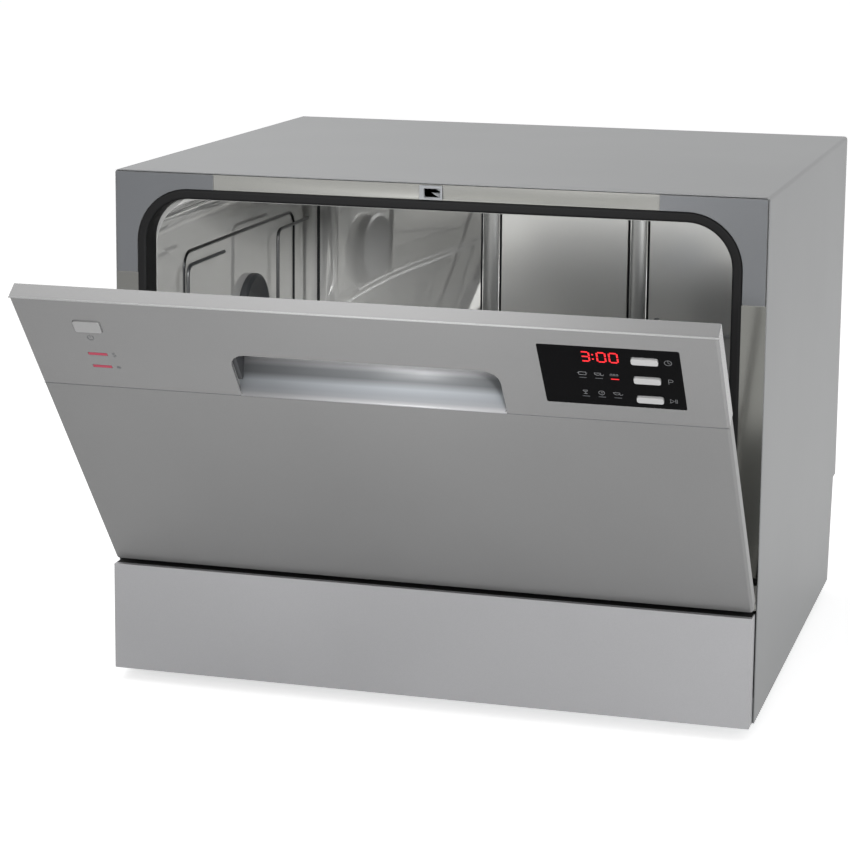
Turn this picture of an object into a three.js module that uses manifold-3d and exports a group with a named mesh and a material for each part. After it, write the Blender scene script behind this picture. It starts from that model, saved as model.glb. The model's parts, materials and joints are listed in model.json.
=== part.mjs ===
// Countertop dishwasher with its door ajar, in millimetres, +Z up, the door facing -Y.
// Every piece is laid out in the cabinet's own frame: x = 0 on the centre line, y = 0 on the
// front flange and z = 0 on the worktop. The door is laid out closed and then turned open.
import * as THREE from "three";
import { mergeVertices } from "three/addons/utils/BufferGeometryUtils.js";
import Module from "manifold-3d";

const wasm = await Module();
wasm.setup();

// Cabinet
const WIDTH = 550;
const HEIGHT = 438;
const DEPTH = 484;
const SHEET = 1.2;
const FIT = 0.3;
const FOOT_HEIGHT = 10;
const FOOT_RADIUS = 16;
const FOOT_INSET_SIDE = 45;
const FOOT_INSET_FRONT = 45;
const FOOT_INSET_REAR = 90;
const FOOT_STEM_RADIUS = 4;
const FOOT_STEM_HEIGHT = 12;
const CORNER_RADIUS = 3;
const HOSE_RECESS_HEIGHT = 98;
const HOSE_RECESS_DEPTH = 16;
const HOSE_RECESS_TAPER = 20;
const BACK_PANEL_MARGIN = 2;
const PAN_RIM_HEIGHT = 20;
const KICK_PLATE_TOP = 102;
const FRAME_BOTTOM = 104;

// Wash tub and door opening
const TUB_SIDE_GAP = 28;
const TUB_TOP_GAP = 26;
const TUB_REAR_GAP = 44;
const TUB_HALF_WIDTH = WIDTH / 2 - TUB_SIDE_GAP;
const TUB_CEILING = HEIGHT - TUB_TOP_GAP;
const TUB_FLOOR = 120;
const TUB_REAR = DEPTH - TUB_REAR_GAP;
const TUB_CORNER_RADIUS = 40;
const TUB_REAR_RADIUS = 28;
const TUB_FLANGE = 10;
const LEDGE_TOP = 136;
const LEDGE_WIDTH = 21;
const LEDGE_SLOPE = 4;
const RIB_WIDTH = 17;
const RIB_HEIGHT = 3;
const RIB_CENTRES = [-62.5, 84.5];
const SEAL_WIDTH = 8;
const SEAL_DEPTH = 22;
const SEAL_PROUD = 2.5;
const SEAL_RISE = 3.5;
const SEAL_CORNER_RADIUS = 45;
const SEAL_BOTTOM = 118;
const SILL_TOP = 114;
const SILL_SEAL_HEIGHT = 9;
const SILL_SEAL_DEPTH = 8;
const CORNER_PLATE_REACH = 59.5;
const CORNER_PLATE_DROP = 86;
const CORNER_PLATE_INNER = TUB_HALF_WIDTH - CORNER_PLATE_REACH;
const CORNER_PLATE_BOTTOM = HEIGHT - CORNER_PLATE_DROP;
const CORNER_PLATE_THICKNESS = 0.8;

// Door, laid out closed
const DOOR_PROUD = 16;
const DOOR_BOTTOM = 108;
const DOOR_GAP = 1.7;
const DOOR_EDGE_DEPTH = 12;
const DOOR_CHAMFER = 2;
const CONSOLE_HEIGHT = 100;
const CONSOLE_SPLIT = HEIGHT - CONSOLE_HEIGHT;
const CONSOLE_WALL = 2.5;
const CONSOLE_TOP_DEPTH = 14.4;
const DOOR_OPEN_ANGLE = 38.5;
const HINGE_Y = -10;
const HINGE_Z = 114;
const HINGE_PIN_RADIUS = 2.5;
const HINGE_EAR_RADIUS = 4.4;
const HINGE_PLATE = 3;
const HINGE_ARM_HEIGHT = 110;
const HINGE_BRACKET_LENGTH = 60;
const LINER_RAISE = 16;
const LINER_BOTTOM = 127;
const LINER_FIELD_MARGIN = 4;
const LINER_FIELD_TOP_MARGIN = 2;
const LINER_FIELD_RADIUS = 36;

// Handle recess
const HANDLE_LEFT = -107;
const HANDLE_RIGHT = 105;
const HANDLE_MARGIN = 2.5;
const HANDLE_HEIGHT = 45.5;
const HANDLE_BOTTOM = CONSOLE_SPLIT + HANDLE_MARGIN;
const HANDLE_TOP = HANDLE_BOTTOM + HANDLE_HEIGHT;
const HANDLE_RADIUS = 13;
const HANDLE_DEPTH = 20;
const HANDLE_LIP_DEPTH = 3;
const HANDLE_BACK_HEIGHT = 12;
const HANDLE_SWEEP = 8;
const HANDLE_WALL = 2;

// Display and buttons
const WINDOW_MARGIN_SIDE = 31.5;
const WINDOW_MARGIN_TOP = 17;
const WINDOW_WIDTH = 105.5;
const WINDOW_HEIGHT = 65;
const WINDOW_RIGHT = WIDTH / 2 - WINDOW_MARGIN_SIDE;
const WINDOW_LEFT = WINDOW_RIGHT - WINDOW_WIDTH;
const WINDOW_TOP = HEIGHT - WINDOW_MARGIN_TOP;
const WINDOW_BOTTOM = WINDOW_TOP - WINDOW_HEIGHT;
const WINDOW_RADIUS = 1.5;
const BUTTON_WIDTH = 20;
const BUTTON_HEIGHT = 8;
const BUTTON_INSET = 26.5;
const BUTTON_DROPS = [13, 34, 55.5];
const BUTTON_X = WINDOW_RIGHT - BUTTON_INSET;
const BUTTON_HEIGHTS = BUTTON_DROPS.map((drop) => WINDOW_TOP - drop);
const BUTTON_NAMES = ["button_delay", "button_programme", "button_start"];
const BUTTON_PROUD = 1.3;
const BUTTON_FLANGE = 1;
const BUTTON_FLANGE_THICKNESS = 0.6;
const BUTTON_RADIUS = 2;
const POWER_INSET = 59;
const POWER_DROP = 29;
const POWER_X = POWER_INSET - WIDTH / 2;
const POWER_Z = HEIGHT - POWER_DROP;
const POWER_WIDTH = 22;
const POWER_HEIGHT = 12;
const LIGHT_OFFSET = 0.2;
const LIGHT_DROPS = [32, 46.5];
const LIGHT_X = POWER_X - LIGHT_OFFSET;
const LIGHT_HEIGHTS = LIGHT_DROPS.map((drop) => POWER_Z - drop);
const LIGHT_WIDTH = 15.5;
const LIGHT_HEIGHT = 2.5;
const LIGHT_STRIP_THICKNESS = 1.5;
const LIGHT_STRIP_MARGIN = 5;

// Detergent dispenser on the inner door
const DISPENSER_LEFT = -150;
const DISPENSER_RIGHT = 75;
const DISPENSER_DROP = 107;
const DISPENSER_HEIGHT = 90;
const DISPENSER_TOP = TUB_CEILING - DISPENSER_DROP;
const DISPENSER_BOTTOM = DISPENSER_TOP - DISPENSER_HEIGHT;
const DISPENSER_FACE = 2;
const DISPENSER_DEPTH = 18;
const DISPENSER_WALL = 2;
const DISPENSER_BODY_INSET = 5;
const DISPENSER_BODY_SIDE = 4;
const CUP_LEFT = -76;
const CUP_RIGHT = -6;
const CUP_MARGIN = 12;
const COVER_THICKNESS = 3;
const COVER_OVERLAP = 3;
const RINSE_X = 38;
const RINSE_RADIUS = 17;
const RINSE_HEIGHT = 5;
const RINSE_BORE = 12;

// Latch
const LATCH_SLOT_LEFT = -5.6;
const LATCH_SLOT_RIGHT = 7.7;
const LATCH_SLOT_DROP = 4.7;
const LATCH_SLOT_HEIGHT = 7;
const LATCH_SLOT_TOP = HEIGHT - LATCH_SLOT_DROP;
const LATCH_SLOT_BOTTOM = LATCH_SLOT_TOP - LATCH_SLOT_HEIGHT;
const LATCH_SLOT_DEPTH = 24;
const LATCH_BEZEL_HALF = 9.5;
const LATCH_BEZEL_BELOW = 2.1;
const LATCH_BEZEL_ABOVE = 2.5;
const LATCH_BEZEL_BOTTOM = LATCH_SLOT_BOTTOM - LATCH_BEZEL_BELOW;
const LATCH_BEZEL_TOP = LATCH_SLOT_TOP + LATCH_BEZEL_ABOVE;
const LATCH_BEZEL_THICKNESS = 1.3;
const LATCH_BODY_HALF = 24;
const LATCH_BODY_DEPTH = 48;
const TONGUE_LENGTH = 6.7;
const TONGUE_WIDTH = 10;
const TONGUE_THICKNESS = 5;
const PAWL_LENGTH = 11;
const PAWL_DEPTH = 6;
const PAWL_TRAVEL = 3;

// Wash system
const SUMP_Y = 220;
const SUMP_RADIUS = 85;
const SUMP_FLANGE = 12;
const SUMP_DEPTH = 70;
const SUMP_WALL = 2.5;
const SUMP_SHOULDER = 45;
const SUMP_FLOOR_RADIUS = 60;
const FILTER_PLATE_RADIUS = 94;
const FILTER_PLATE_THICKNESS = 1.5;
const STRAINER_X = 52;
const STRAINER_RADIUS = 27;
const STRAINER_DEPTH = 40;
const STRAINER_RIM = 4;
const STRAINER_GRIP_HEIGHT = 8;
const RISER_RADIUS = 13;
const RISER_BORE = 10;
const RISER_TOP = 134;
const HUB_RADIUS = 24;
const ARM_TIP_GAP = 53;
const ARM_LENGTH = TUB_HALF_WIDTH - ARM_TIP_GAP;
const ARM_WIDTH = 40;
const ARM_TIP_WIDTH = 26;
const ARM_THICKNESS = 12;
const ARM_END_RADIUS = 10;
const ARM_REST_ANGLE = 28;
const HUB_RISE = 2;
const SPINDLE_LENGTH = 30;
const SOFTENER_INSET = 69;
const SOFTENER_X = SOFTENER_INSET - TUB_HALF_WIDTH;
const SOFTENER_Y = 105;
const SOFTENER_RADIUS = 52;
const SOFTENER_NECK = 30;
const SOFTENER_HEIGHT = 90;
const SOFTENER_WALL = 3;
const SOFTENER_RIM = 3;
const SALT_CAP_RADIUS = 35;
const SALT_CAP_HEIGHT = 6.5;
const SALT_CAP_EDGE = 6;
const SALT_GRIP_HEIGHT = 3;
const SALT_GRIP_WIDTH = 6;
const SALT_PLUG_LENGTH = 14;
const FLOAT_INSET = 63;
const FLOAT_X = TUB_HALF_WIDTH - FLOAT_INSET;
const FLOAT_Y = 74;
const FLOAT_RADIUS = 19;
const FLOAT_HEIGHT = 15;
const FLOAT_STEM_RADIUS = 5;
const FLOAT_STEM_LENGTH = 22;
const FLOAT_WALL = 2;
const BREATHER_Y = 254;
const BREATHER_DROP = 135;
const BREATHER_Z = TUB_CEILING - BREATHER_DROP;
const BREATHER_RADIUS = 36;
const BREATHER_PROUD = 8;
const BREATHER_DISH_RADIUS = 20;
const BREATHER_STEM = 14;

// Dish basket
const WIRE = 3.2;
const THIN_WIRE = 2.6;
const WELD = 0.6;
const BASKET_SIDE_GAP = 26;
const BASKET_REAR_GAP = 26;
const BASKET_FRONT = 36;
const BASKET_HALF_WIDTH = TUB_HALF_WIDTH - BASKET_SIDE_GAP;
const BASKET_REAR = TUB_REAR - BASKET_REAR_GAP;
const BASKET_LENGTH = BASKET_REAR - BASKET_FRONT;
const BASKET_FLOOR = 160;
const BASKET_MID_RIM = 204;
const BASKET_TOP_RIM = 250;
const FLOOR_WIRES = 13;
const CROSS_WIRES = 6;
const TINE_HEIGHT = 56;
const TINES_PER_ROW = 10;
const TINE_COLUMNS = [2, 5];
const ROLLER_RADIUS = 12;
const ROLLER_WIDTH = 9;
const ROLLER_AXLE = 3;
const ROLLER_INSET = 46;
const TAB_THICKNESS = 3;
const STUB_END = 1;
const SHELF_DROP = 59;
const SHELF_TOP = TUB_CEILING - SHELF_DROP;
const SHELF_BEND = 10;
const SHELF_REACH = 88;
const SHELF_REAR_MARGIN = 58;
const SHELF_HOOKS = [BASKET_FRONT, BASKET_REAR - SHELF_REAR_MARGIN - SHELF_REACH];
const CUTLERY_INSET = 15;
const CUTLERY_WIDTH = 110;
const CUTLERY_LENGTH = 140;
const CUTLERY_RIGHT = BASKET_HALF_WIDTH - CUTLERY_INSET;
const CUTLERY_LEFT = CUTLERY_RIGHT - CUTLERY_WIDTH;
const CUTLERY_FRONT = 52;
const CUTLERY_REAR = CUTLERY_FRONT + CUTLERY_LENGTH;
const CUTLERY_HEIGHT = 100;
const CUTLERY_WALL = 2;
const CUTLERY_HANDLE_RISE = 42;
const CUTLERY_GRIP = 8;

// Underside units
const PUMP_RADIUS = 32;
const PUMP_INSET = 155;
const PUMP_X = WIDTH / 2 - PUMP_INSET;
const PUMP_LENGTH = 34;
const MOTOR_RADIUS = 29;
const MOTOR_LENGTH = 70;
const PUMP_Y = 200;
const PUMP_Z = 60;
const PUMP_WALL = 3;
const SADDLE_WIDTH = 24;
const IMPELLER_RADIUS = 24;
const DRAIN_X = -112;
const DRAIN_Y = 250;
const DRAIN_RADIUS = 24;
const DRAIN_LENGTH = 44;
const HEATER_Y = 290;
const HEATER_LENGTH = 150;
const HEATER_RADIUS = 14;
const OUTLET_RADIUS = 9;
const INLET_INSET = 85;
const SPIGOT_SPACING = 60;
const GLAND_INSET = 75;
const INLET_X = INLET_INSET - WIDTH / 2;
const SPIGOT_X = INLET_X + SPIGOT_SPACING;
const GLAND_X = WIDTH / 2 - GLAND_INSET;
const CONNECTION_Z = 62;
const CONNECTION_REACH = 26;
const INLET_RADIUS = 12.5;
const INLET_BODY = [20, 46];
const INLET_BORE = 8;
const SPIGOT_RADIUS = 10;
const SPIGOT_BODY = [16, 18];
const SPIGOT_BORE = 7;
const GLAND_RADIUS = 9;
const GLAND_BODY = [15, 14];
const GLAND_BORE = 4;
const CONNECTION_END_WALL = 4;
const AIR_BREAK_RADIUS = 18;
const AIR_BREAK_FRONT = 150;
const AIR_BREAK_REAR_GAP = 90;
const AIR_BREAK_TOP_GAP = 32;
const AIR_BREAK_REAR = TUB_REAR - AIR_BREAK_REAR_GAP;
const AIR_BREAK_BOTTOM = 150;
const AIR_BREAK_TOP = TUB_CEILING - AIR_BREAK_TOP_GAP;

// Values worked out from the sizes above
const HALF = WIDTH / 2;
const INSIDE = HALF - SHEET - FIT;
const DOOR_HALF = HALF - DOOR_GAP;
const DOOR_FRONT = -DOOR_PROUD;
const DOOR_BACK = DOOR_FRONT + DOOR_EDGE_DEPTH;
const SEAL_HALF = TUB_HALF_WIDTH + SEAL_WIDTH - FIT;
const SEAL_TOP = TUB_CEILING + SEAL_WIDTH + SEAL_RISE;
const PAN_BOTTOM = FOOT_HEIGHT;
const RECESS_TOP = PAN_BOTTOM + HOSE_RECESS_HEIGHT;
const PANEL_BACK = DEPTH - HOSE_RECESS_DEPTH - HOSE_RECESS_TAPER - BACK_PANEL_MARGIN;
const LINER_FRONT = DOOR_BACK - SHEET;
const LINER_FACE = DOOR_BACK + LINER_RAISE;
const FIELD_HALF = TUB_HALF_WIDTH - LINER_FIELD_MARGIN;
const FIELD_TOP = TUB_CEILING - LINER_FIELD_TOP_MARGIN;
const SKIN_BACK = DOOR_FRONT + CONSOLE_WALL;
const FACE_PLATE = LINER_FACE + FIT + DISPENSER_FACE;
const AXLE_Z = LEDGE_TOP + FIT + ROLLER_RADIUS;
const ROLLER_X = TUB_HALF_WIDTH - LEDGE_WIDTH / 2;

// Shape helpers: a flat outline drawn in a plane and drawn out along the third axis. Corners are
// kept to the nearest micron, so that faces meant to be flush lie in exactly one plane.
const MICRON = 0.001;
const turnToY = new THREE.Matrix4().makeBasis(
  new THREE.Vector3(1, 0, 0),
  new THREE.Vector3(0, 0, 1),
  new THREE.Vector3(0, -1, 0),
);
const turnToX = new THREE.Matrix4().makeBasis(
  new THREE.Vector3(0, 1, 0),
  new THREE.Vector3(0, 0, 1),
  new THREE.Vector3(1, 0, 0),
);

function solidFrom(geometry) {
  const bare = geometry.index ? geometry.toNonIndexed() : geometry.clone();
  bare.deleteAttribute("normal");
  bare.deleteAttribute("uv");
  const places = bare.attributes.position.array;
  places.forEach((value, i) => {
    places[i] = Math.round(value / MICRON) * MICRON;
  });
  const merged = mergeVertices(bare, MICRON / 10);
  return new wasm.Manifold(
    new wasm.Mesh({
      numProp: 3,
      vertProperties: merged.attributes.position.array,
      triVerts: new Uint32Array(merged.index.array),
    }),
  );
}

function block(x, y, z) {
  const geometry = new THREE.BoxGeometry(x[1] - x[0], y[1] - y[0], z[1] - z[0]);
  geometry.translate((x[0] + x[1]) / 2, (y[0] + y[1]) / 2, (z[0] + z[1]) / 2);
  return solidFrom(geometry);
}

function drawnOut(shape, depth, curveSteps = 6) {
  return new THREE.ExtrudeGeometry(shape, { depth, bevelEnabled: false, curveSegments: curveSteps });
}

// An outline of (x, z) points drawn out from y[0] to y[1]
function alongY(shape, y, curveSteps) {
  const geometry = drawnOut(shape, y[1] - y[0], curveSteps).applyMatrix4(turnToY);
  return solidFrom(geometry.translate(0, y[1], 0));
}

// An outline of (y, z) points drawn out from x[0] to x[1]
function alongX(shape, x, curveSteps) {
  const geometry = drawnOut(shape, x[1] - x[0], curveSteps).applyMatrix4(turnToX);
  return solidFrom(geometry.translate(x[0], 0, 0));
}

// An outline of (x, y) points drawn out from z[0] to z[1]
function alongZ(shape, z, curveSteps) {
  return solidFrom(drawnOut(shape, z[1] - z[0], curveSteps).translate(0, 0, z[0]));
}

// A rectangle whose corners are rounded by radii given as [low left, low right, top right, top left]
function rounded(u, v, radii) {
  const [a, b, c, d] = Array.isArray(radii) ? radii : [radii, radii, radii, radii];
  const shape = new THREE.Shape();
  shape.moveTo(u[0] + a, v[0]);
  shape.lineTo(u[1] - b, v[0]);
  if (b > 0) shape.absarc(u[1] - b, v[0] + b, b, -Math.PI / 2, 0, false);
  shape.lineTo(u[1], v[1] - c);
  if (c > 0) shape.absarc(u[1] - c, v[1] - c, c, 0, Math.PI / 2, false);
  shape.lineTo(u[0] + d, v[1]);
  if (d > 0) shape.absarc(u[0] + d, v[1] - d, d, Math.PI / 2, Math.PI, false);
  shape.lineTo(u[0], v[0] + a);
  if (a > 0) shape.absarc(u[0] + a, v[0] + a, a, Math.PI, Math.PI * 1.5, false);
  return shape;
}

function outline(points) {
  return new THREE.Shape(points.map(([u, v]) => new THREE.Vector2(u, v)));
}

// A round solid from a profile of (radius, height) points, standing on the Z axis
function turned(profile, sides = 24) {
  const points = profile.map(([radius, height]) => new THREE.Vector2(radius, height));
  const geometry = new THREE.LatheGeometry([...points, points[0]], sides);
  return solidFrom(geometry.rotateX(Math.PI / 2));
}

// A turned solid whose axis lies along X, with its heights measured from x
function turnedAlongX(profile, [x, y, z], sides) {
  return turned(profile, sides).rotate([0, 90, 0]).translate([x, y, z]);
}

// A turned solid whose axis lies along Y, with its heights measured rearward from y
function turnedAlongY(profile, [x, y, z], sides) {
  return turned(profile, sides).rotate([-90, 0, 0]).translate([x, y, z]);
}

function disc(radius, height, sides = 24) {
  return turned([[0, 0], [radius, 0], [radius, height], [0, height]], sides);
}

function centred(centre, size) {
  return [centre - size / 2, centre + size / 2];
}

function joined(solids) {
  return solids.reduce((whole, piece) => whole.add(piece));
}

const dishwasher = new THREE.Group();
const doorPivot = new THREE.Group();
const door = new THREE.Group();
const basket = new THREE.Group();
dishwasher.add(doorPivot, basket);
doorPivot.add(door);
doorPivot.position.set(0, HINGE_Y, HINGE_Z);
doorPivot.rotation.x = THREE.MathUtils.degToRad(DOOR_OPEN_ANGLE);
door.position.set(0, -HINGE_Y, -HINGE_Z);

function place(group, name, solid, colour, roughness, metalness) {
  const made = solid.getMesh();
  const stride = made.numProp;
  const positions = new Float32Array(made.numVert * 3);
  for (let i = 0; i < made.numVert; i++)
    positions.set(made.vertProperties.subarray(i * stride, i * stride + 3), i * 3);
  const geometry = new THREE.BufferGeometry();
  geometry.setAttribute("position", new THREE.BufferAttribute(positions, 3));
  geometry.setIndex(new THREE.BufferAttribute(made.triVerts, 1));
  geometry.computeVertexNormals();
  const material = new THREE.MeshStandardMaterial({ color: colour, roughness, metalness });
  const mesh = new THREE.Mesh(geometry, material);
  mesh.name = name;
  group.add(mesh);
}

const PAINT = 0xa2a4a6;
const STEEL = 0xb9bbbd;
const DARK_PLASTIC = 0x2a2b2d;
const GREY_PLASTIC = 0x8d8f91;
const PALE_PLASTIC = 0xbdbdbd;
const RUBBER = 0x141516;
const BLACK_GLOSS = 0x1a1a1c;

// Outer wrap: one folded sheet that makes the top and both sides, cut in low at the back for the hoses
function outerWrap() {
  const radii = [0, 0, CORNER_RADIUS, CORNER_RADIUS];
  const outside = alongY(rounded([-HALF, HALF], [PAN_BOTTOM, HEIGHT], radii), [0, DEPTH], 3);
  const inner = rounded([-HALF + SHEET, HALF - SHEET], [0, HEIGHT - SHEET], [0, 0, 2, 2]);
  const recess = outline([
    [DEPTH - HOSE_RECESS_DEPTH - HOSE_RECESS_TAPER, 0],
    [DEPTH + FIT, 0],
    [DEPTH + FIT, RECESS_TOP],
    [DEPTH - HOSE_RECESS_DEPTH, RECESS_TOP],
  ]);
  return outside.subtract(alongY(inner, [-1, DEPTH + 1], 3)).subtract(alongX(recess, [-WIDTH, WIDTH]));
}
place(dishwasher, "outer_wrap", outerWrap(), PAINT, 0.35, 0.6);

// Front frame: the flange round the opening, with a return that holds the door seal
const sealOuter = (grow, low) =>
  rounded([-SEAL_HALF - grow, SEAL_HALF + grow], [low, SEAL_TOP + grow],
    [0, 0, SEAL_CORNER_RADIUS + grow, SEAL_CORNER_RADIUS + grow]);
const bracketInner = TUB_HALF_WIDTH + SHEET + TUB_FLANGE + FIT;
const bracketX = [bracketInner, bracketInner + HINGE_PLATE];
function frontFrame() {
  const top = HEIGHT - SHEET - FIT;
  const plate = alongY(rounded([-INSIDE, INSIDE], [FRAME_BOTTOM, top], 1), [0, SHEET], 2);
  const channel = alongY(sealOuter(FIT + SHEET, SILL_TOP - SHEET), [SHEET / 2, SEAL_DEPTH]);
  const opening = alongY(sealOuter(FIT, SILL_TOP), [-1, SEAL_DEPTH + 1]);
  const latchNotch = block(
    [-LATCH_BEZEL_HALF, LATCH_BEZEL_HALF],
    [-1, SHEET + FIT],
    [SEAL_TOP + FIT + SHEET + FIT, LATCH_BEZEL_TOP],
  );
  let frame = plate.add(channel).subtract(opening).subtract(latchNotch);
  for (const side of [-1, 1]) {
    const across = [bracketX[0] - FIT, bracketX[1] + FIT].map((x) => x * side).sort((a, b) => a - b);
    const notch = [FRAME_BOTTOM - 1, HINGE_Z + HINGE_EAR_RADIUS + FIT];
    frame = frame.subtract(block(across, [-1, SEAL_DEPTH + 1], notch));
  }
  return frame;
}
place(dishwasher, "front_frame", frontFrame(), 0x9fa09b, 0.3, 0.7);

// Corner plates: L-shaped plates on the flange, round the two upper corners of the seal
function cornerPlate(side) {
  const y = [-FIT - CORNER_PLATE_THICKNESS, -FIT];
  const top = HEIGHT - SHEET - FIT;
  const across = [CORNER_PLATE_INNER, INSIDE].map((x) => x * side).sort((a, b) => a - b);
  const blank = alongY(rounded(across, [CORNER_PLATE_BOTTOM, top], 1), y, 2);
  return blank.subtract(alongY(sealOuter(FIT, 0), [-5, 5]));
}
place(dishwasher, "corner_plate_left", cornerPlate(-1), 0x70767d, 0.35, 0.5);
place(dishwasher, "corner_plate_right", cornerPlate(1), 0x70767d, 0.35, 0.5);

// Door seal: an upturned U of rubber in the frame's channel, and a lip along the sill
function doorSeal() {
  const y = [-SEAL_PROUD, SEAL_DEPTH - FIT];
  const outer = alongY(sealOuter(0, SEAL_BOTTOM), y);
  return outer.subtract(alongY(sealOuter(-SEAL_WIDTH, 0), [y[0] - 1, y[1] + 1]));
}
place(dishwasher, "door_gasket", doorSeal(), RUBBER, 0.7, 0);
const sillSeal = rounded(
  [SHEET + FIT, SHEET + FIT + SILL_SEAL_DEPTH],
  [SILL_TOP + FIT, SILL_TOP + FIT + SILL_SEAL_HEIGHT],
  [0, 0, 3, 3],
);
const sillHalf = SEAL_HALF - SEAL_WIDTH - FIT;
place(dishwasher, "sill_seal", alongX(sillSeal, [-sillHalf, sillHalf], 3), RUBBER, 0.7, 0);

// Wash tub: a deep-drawn shell with wheel ledges along the floor and ribs up the back
function tubForm(grow) {
  const half = TUB_HALF_WIDTH + grow;
  const foot = TUB_HALF_WIDTH - LEDGE_WIDTH;
  const r = TUB_CORNER_RADIUS;
  const section = new THREE.Shape();
  section.moveTo(-half, LEDGE_TOP - grow);
  section.lineTo(-foot - grow, LEDGE_TOP - grow);
  section.lineTo(-foot - grow + LEDGE_SLOPE, TUB_FLOOR - grow);
  section.lineTo(foot + grow - LEDGE_SLOPE, TUB_FLOOR - grow);
  section.lineTo(foot + grow, LEDGE_TOP - grow);
  section.lineTo(half, LEDGE_TOP - grow);
  section.lineTo(half, TUB_CEILING + grow - r);
  section.absarc(half - r, TUB_CEILING + grow - r, r, 0, Math.PI / 2, false);
  section.lineTo(-half + r, TUB_CEILING + grow);
  section.absarc(-half + r, TUB_CEILING + grow - r, r, Math.PI / 2, Math.PI, false);
  const front = SEAL_DEPTH + FIT - (grow ? 0 : 1);
  const rear = TUB_REAR + grow;
  const rr = TUB_REAR_RADIUS;
  const plan = rounded([-half, half], [front, rear], [0, 0, rr, rr]);
  const side = rounded([front, rear], [0, TUB_CEILING + grow], [0, 0, rr, 0]);
  return alongY(section, [front, rear])
    .intersect(alongZ(plan, [0, HEIGHT]))
    .intersect(alongX(side, [-HALF, HALF]));
}
function washTub() {
  const flange = TUB_HALF_WIDTH + SHEET + TUB_FLANGE;
  const flangeRadii = [0, 0, TUB_CORNER_RADIUS, TUB_CORNER_RADIUS];
  const front = SEAL_DEPTH + FIT;
  const rim = alongY(
    rounded([-flange, flange], [FRAME_BOTTOM, TUB_CEILING + TUB_FLANGE], flangeRadii),
    [front, front + SHEET],
  );
  let tub = tubForm(SHEET).add(rim).subtract(tubForm(0));
  for (const x of RIB_CENTRES)
    tub = tub.add(block(
      [x - RIB_WIDTH / 2, x + RIB_WIDTH / 2],
      [TUB_REAR - RIB_HEIGHT, TUB_REAR + SHEET / 2],
      [TUB_FLOOR + TUB_REAR_RADIUS, TUB_CEILING - TUB_REAR_RADIUS],
    ));
  const hole = (radius, x, y) => disc(radius, TUB_FLANGE).translate([x, y, TUB_FLOOR - TUB_FLANGE / 2]);
  tub = tub.subtract(hole(SUMP_RADIUS, 0, SUMP_Y));
  tub = tub.subtract(hole(SOFTENER_NECK + FIT, SOFTENER_X, SOFTENER_Y));
  tub = tub.subtract(hole(FLOAT_STEM_RADIUS + FIT, FLOAT_X, FLOAT_Y));
  const breatherHole = [[0, 0], [BREATHER_STEM + FIT, 0], [BREATHER_STEM + FIT, 10], [0, 10]];
  return tub.subtract(turnedAlongX(breatherHole, [-TUB_HALF_WIDTH - 5, BREATHER_Y, BREATHER_Z]));
}
place(dishwasher, "tub", washTub(), STEEL, 0.25, 1);

// Base pan: a folded tray that carries the feet, with a rim inside the wrap
const footPlaces = [
  ["foot_front_left", -HALF + FOOT_INSET_SIDE, FOOT_INSET_FRONT],
  ["foot_front_right", HALF - FOOT_INSET_SIDE, FOOT_INSET_FRONT],
  ["foot_rear_left", -HALF + FOOT_INSET_SIDE, DEPTH - FOOT_INSET_REAR],
  ["foot_rear_right", HALF - FOOT_INSET_SIDE, DEPTH - FOOT_INSET_REAR],
];
function basePan() {
  const rimTop = PAN_BOTTOM + SHEET + PAN_RIM_HEIGHT;
  const tray = block([-INSIDE, INSIDE], [0, PANEL_BACK], [PAN_BOTTOM, rimTop]);
  const inner = [-INSIDE + SHEET, INSIDE - SHEET];
  let pan = tray.subtract(block(inner, [SHEET, PANEL_BACK - SHEET], [PAN_BOTTOM + SHEET, rimTop + 1]));
  for (const [, x, y] of footPlaces)
    pan = pan.subtract(disc(FOOT_STEM_RADIUS + FIT, SHEET * 3, 12).translate([x, y, PAN_BOTTOM - SHEET]));
  return pan;
}
place(dishwasher, "base_pan", basePan(), 0x8a8c8e, 0.5, 0.6);

// Feet: turned rubber pads whose stems pass up through the base pan
for (const [name, x, y] of footPlaces) {
  const neck = PAN_BOTTOM - FIT;
  const profile = [
    [0, 0],
    [FOOT_RADIUS - 1.5, 0],
    [FOOT_RADIUS, 1.5],
    [FOOT_RADIUS, neck - 1.5],
    [FOOT_RADIUS - 1.5, neck],
    [FOOT_STEM_RADIUS, neck],
    [FOOT_STEM_RADIUS, neck + FOOT_STEM_HEIGHT],
    [0, neck + FOOT_STEM_HEIGHT],
  ];
  place(dishwasher, name, turned(profile, 12).translate([x, y, 0]), DARK_PLASTIC, 0.7, 0);
}

// Kick plate: a folded front cover under the door, open at the back and below
function kickPlate() {
  const outside = block([-DOOR_HALF, DOOR_HALF], [DOOR_FRONT, -FIT], [FOOT_HEIGHT, KICK_PLATE_TOP]);
  const inner = [-DOOR_HALF + SHEET, DOOR_HALF - SHEET];
  return outside.subtract(block(inner, [DOOR_FRONT + SHEET, 1], [0, KICK_PLATE_TOP - SHEET]));
}
place(dishwasher, "kick_plate", kickPlate(), 0xa4a6a7, 0.4, 0.5);

// Back panel: closes the wrap behind the tub, with a shelf folded in above the hose recess
function backPanel() {
  const y = [DEPTH - SHEET - FIT, DEPTH - FIT];
  const shelfZ = [RECESS_TOP + FIT, RECESS_TOP + FIT + SHEET];
  const plate = alongY(rounded([-INSIDE, INSIDE], [shelfZ[0], HEIGHT - SHEET - FIT], [0, 0, 2, 2]), y, 2);
  return plate.add(block([-INSIDE, INSIDE], [PANEL_BACK - SHEET, y[1]], shelfZ));
}
place(dishwasher, "back_panel", backPanel(), 0x9a9c9e, 0.45, 0.6);

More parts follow.
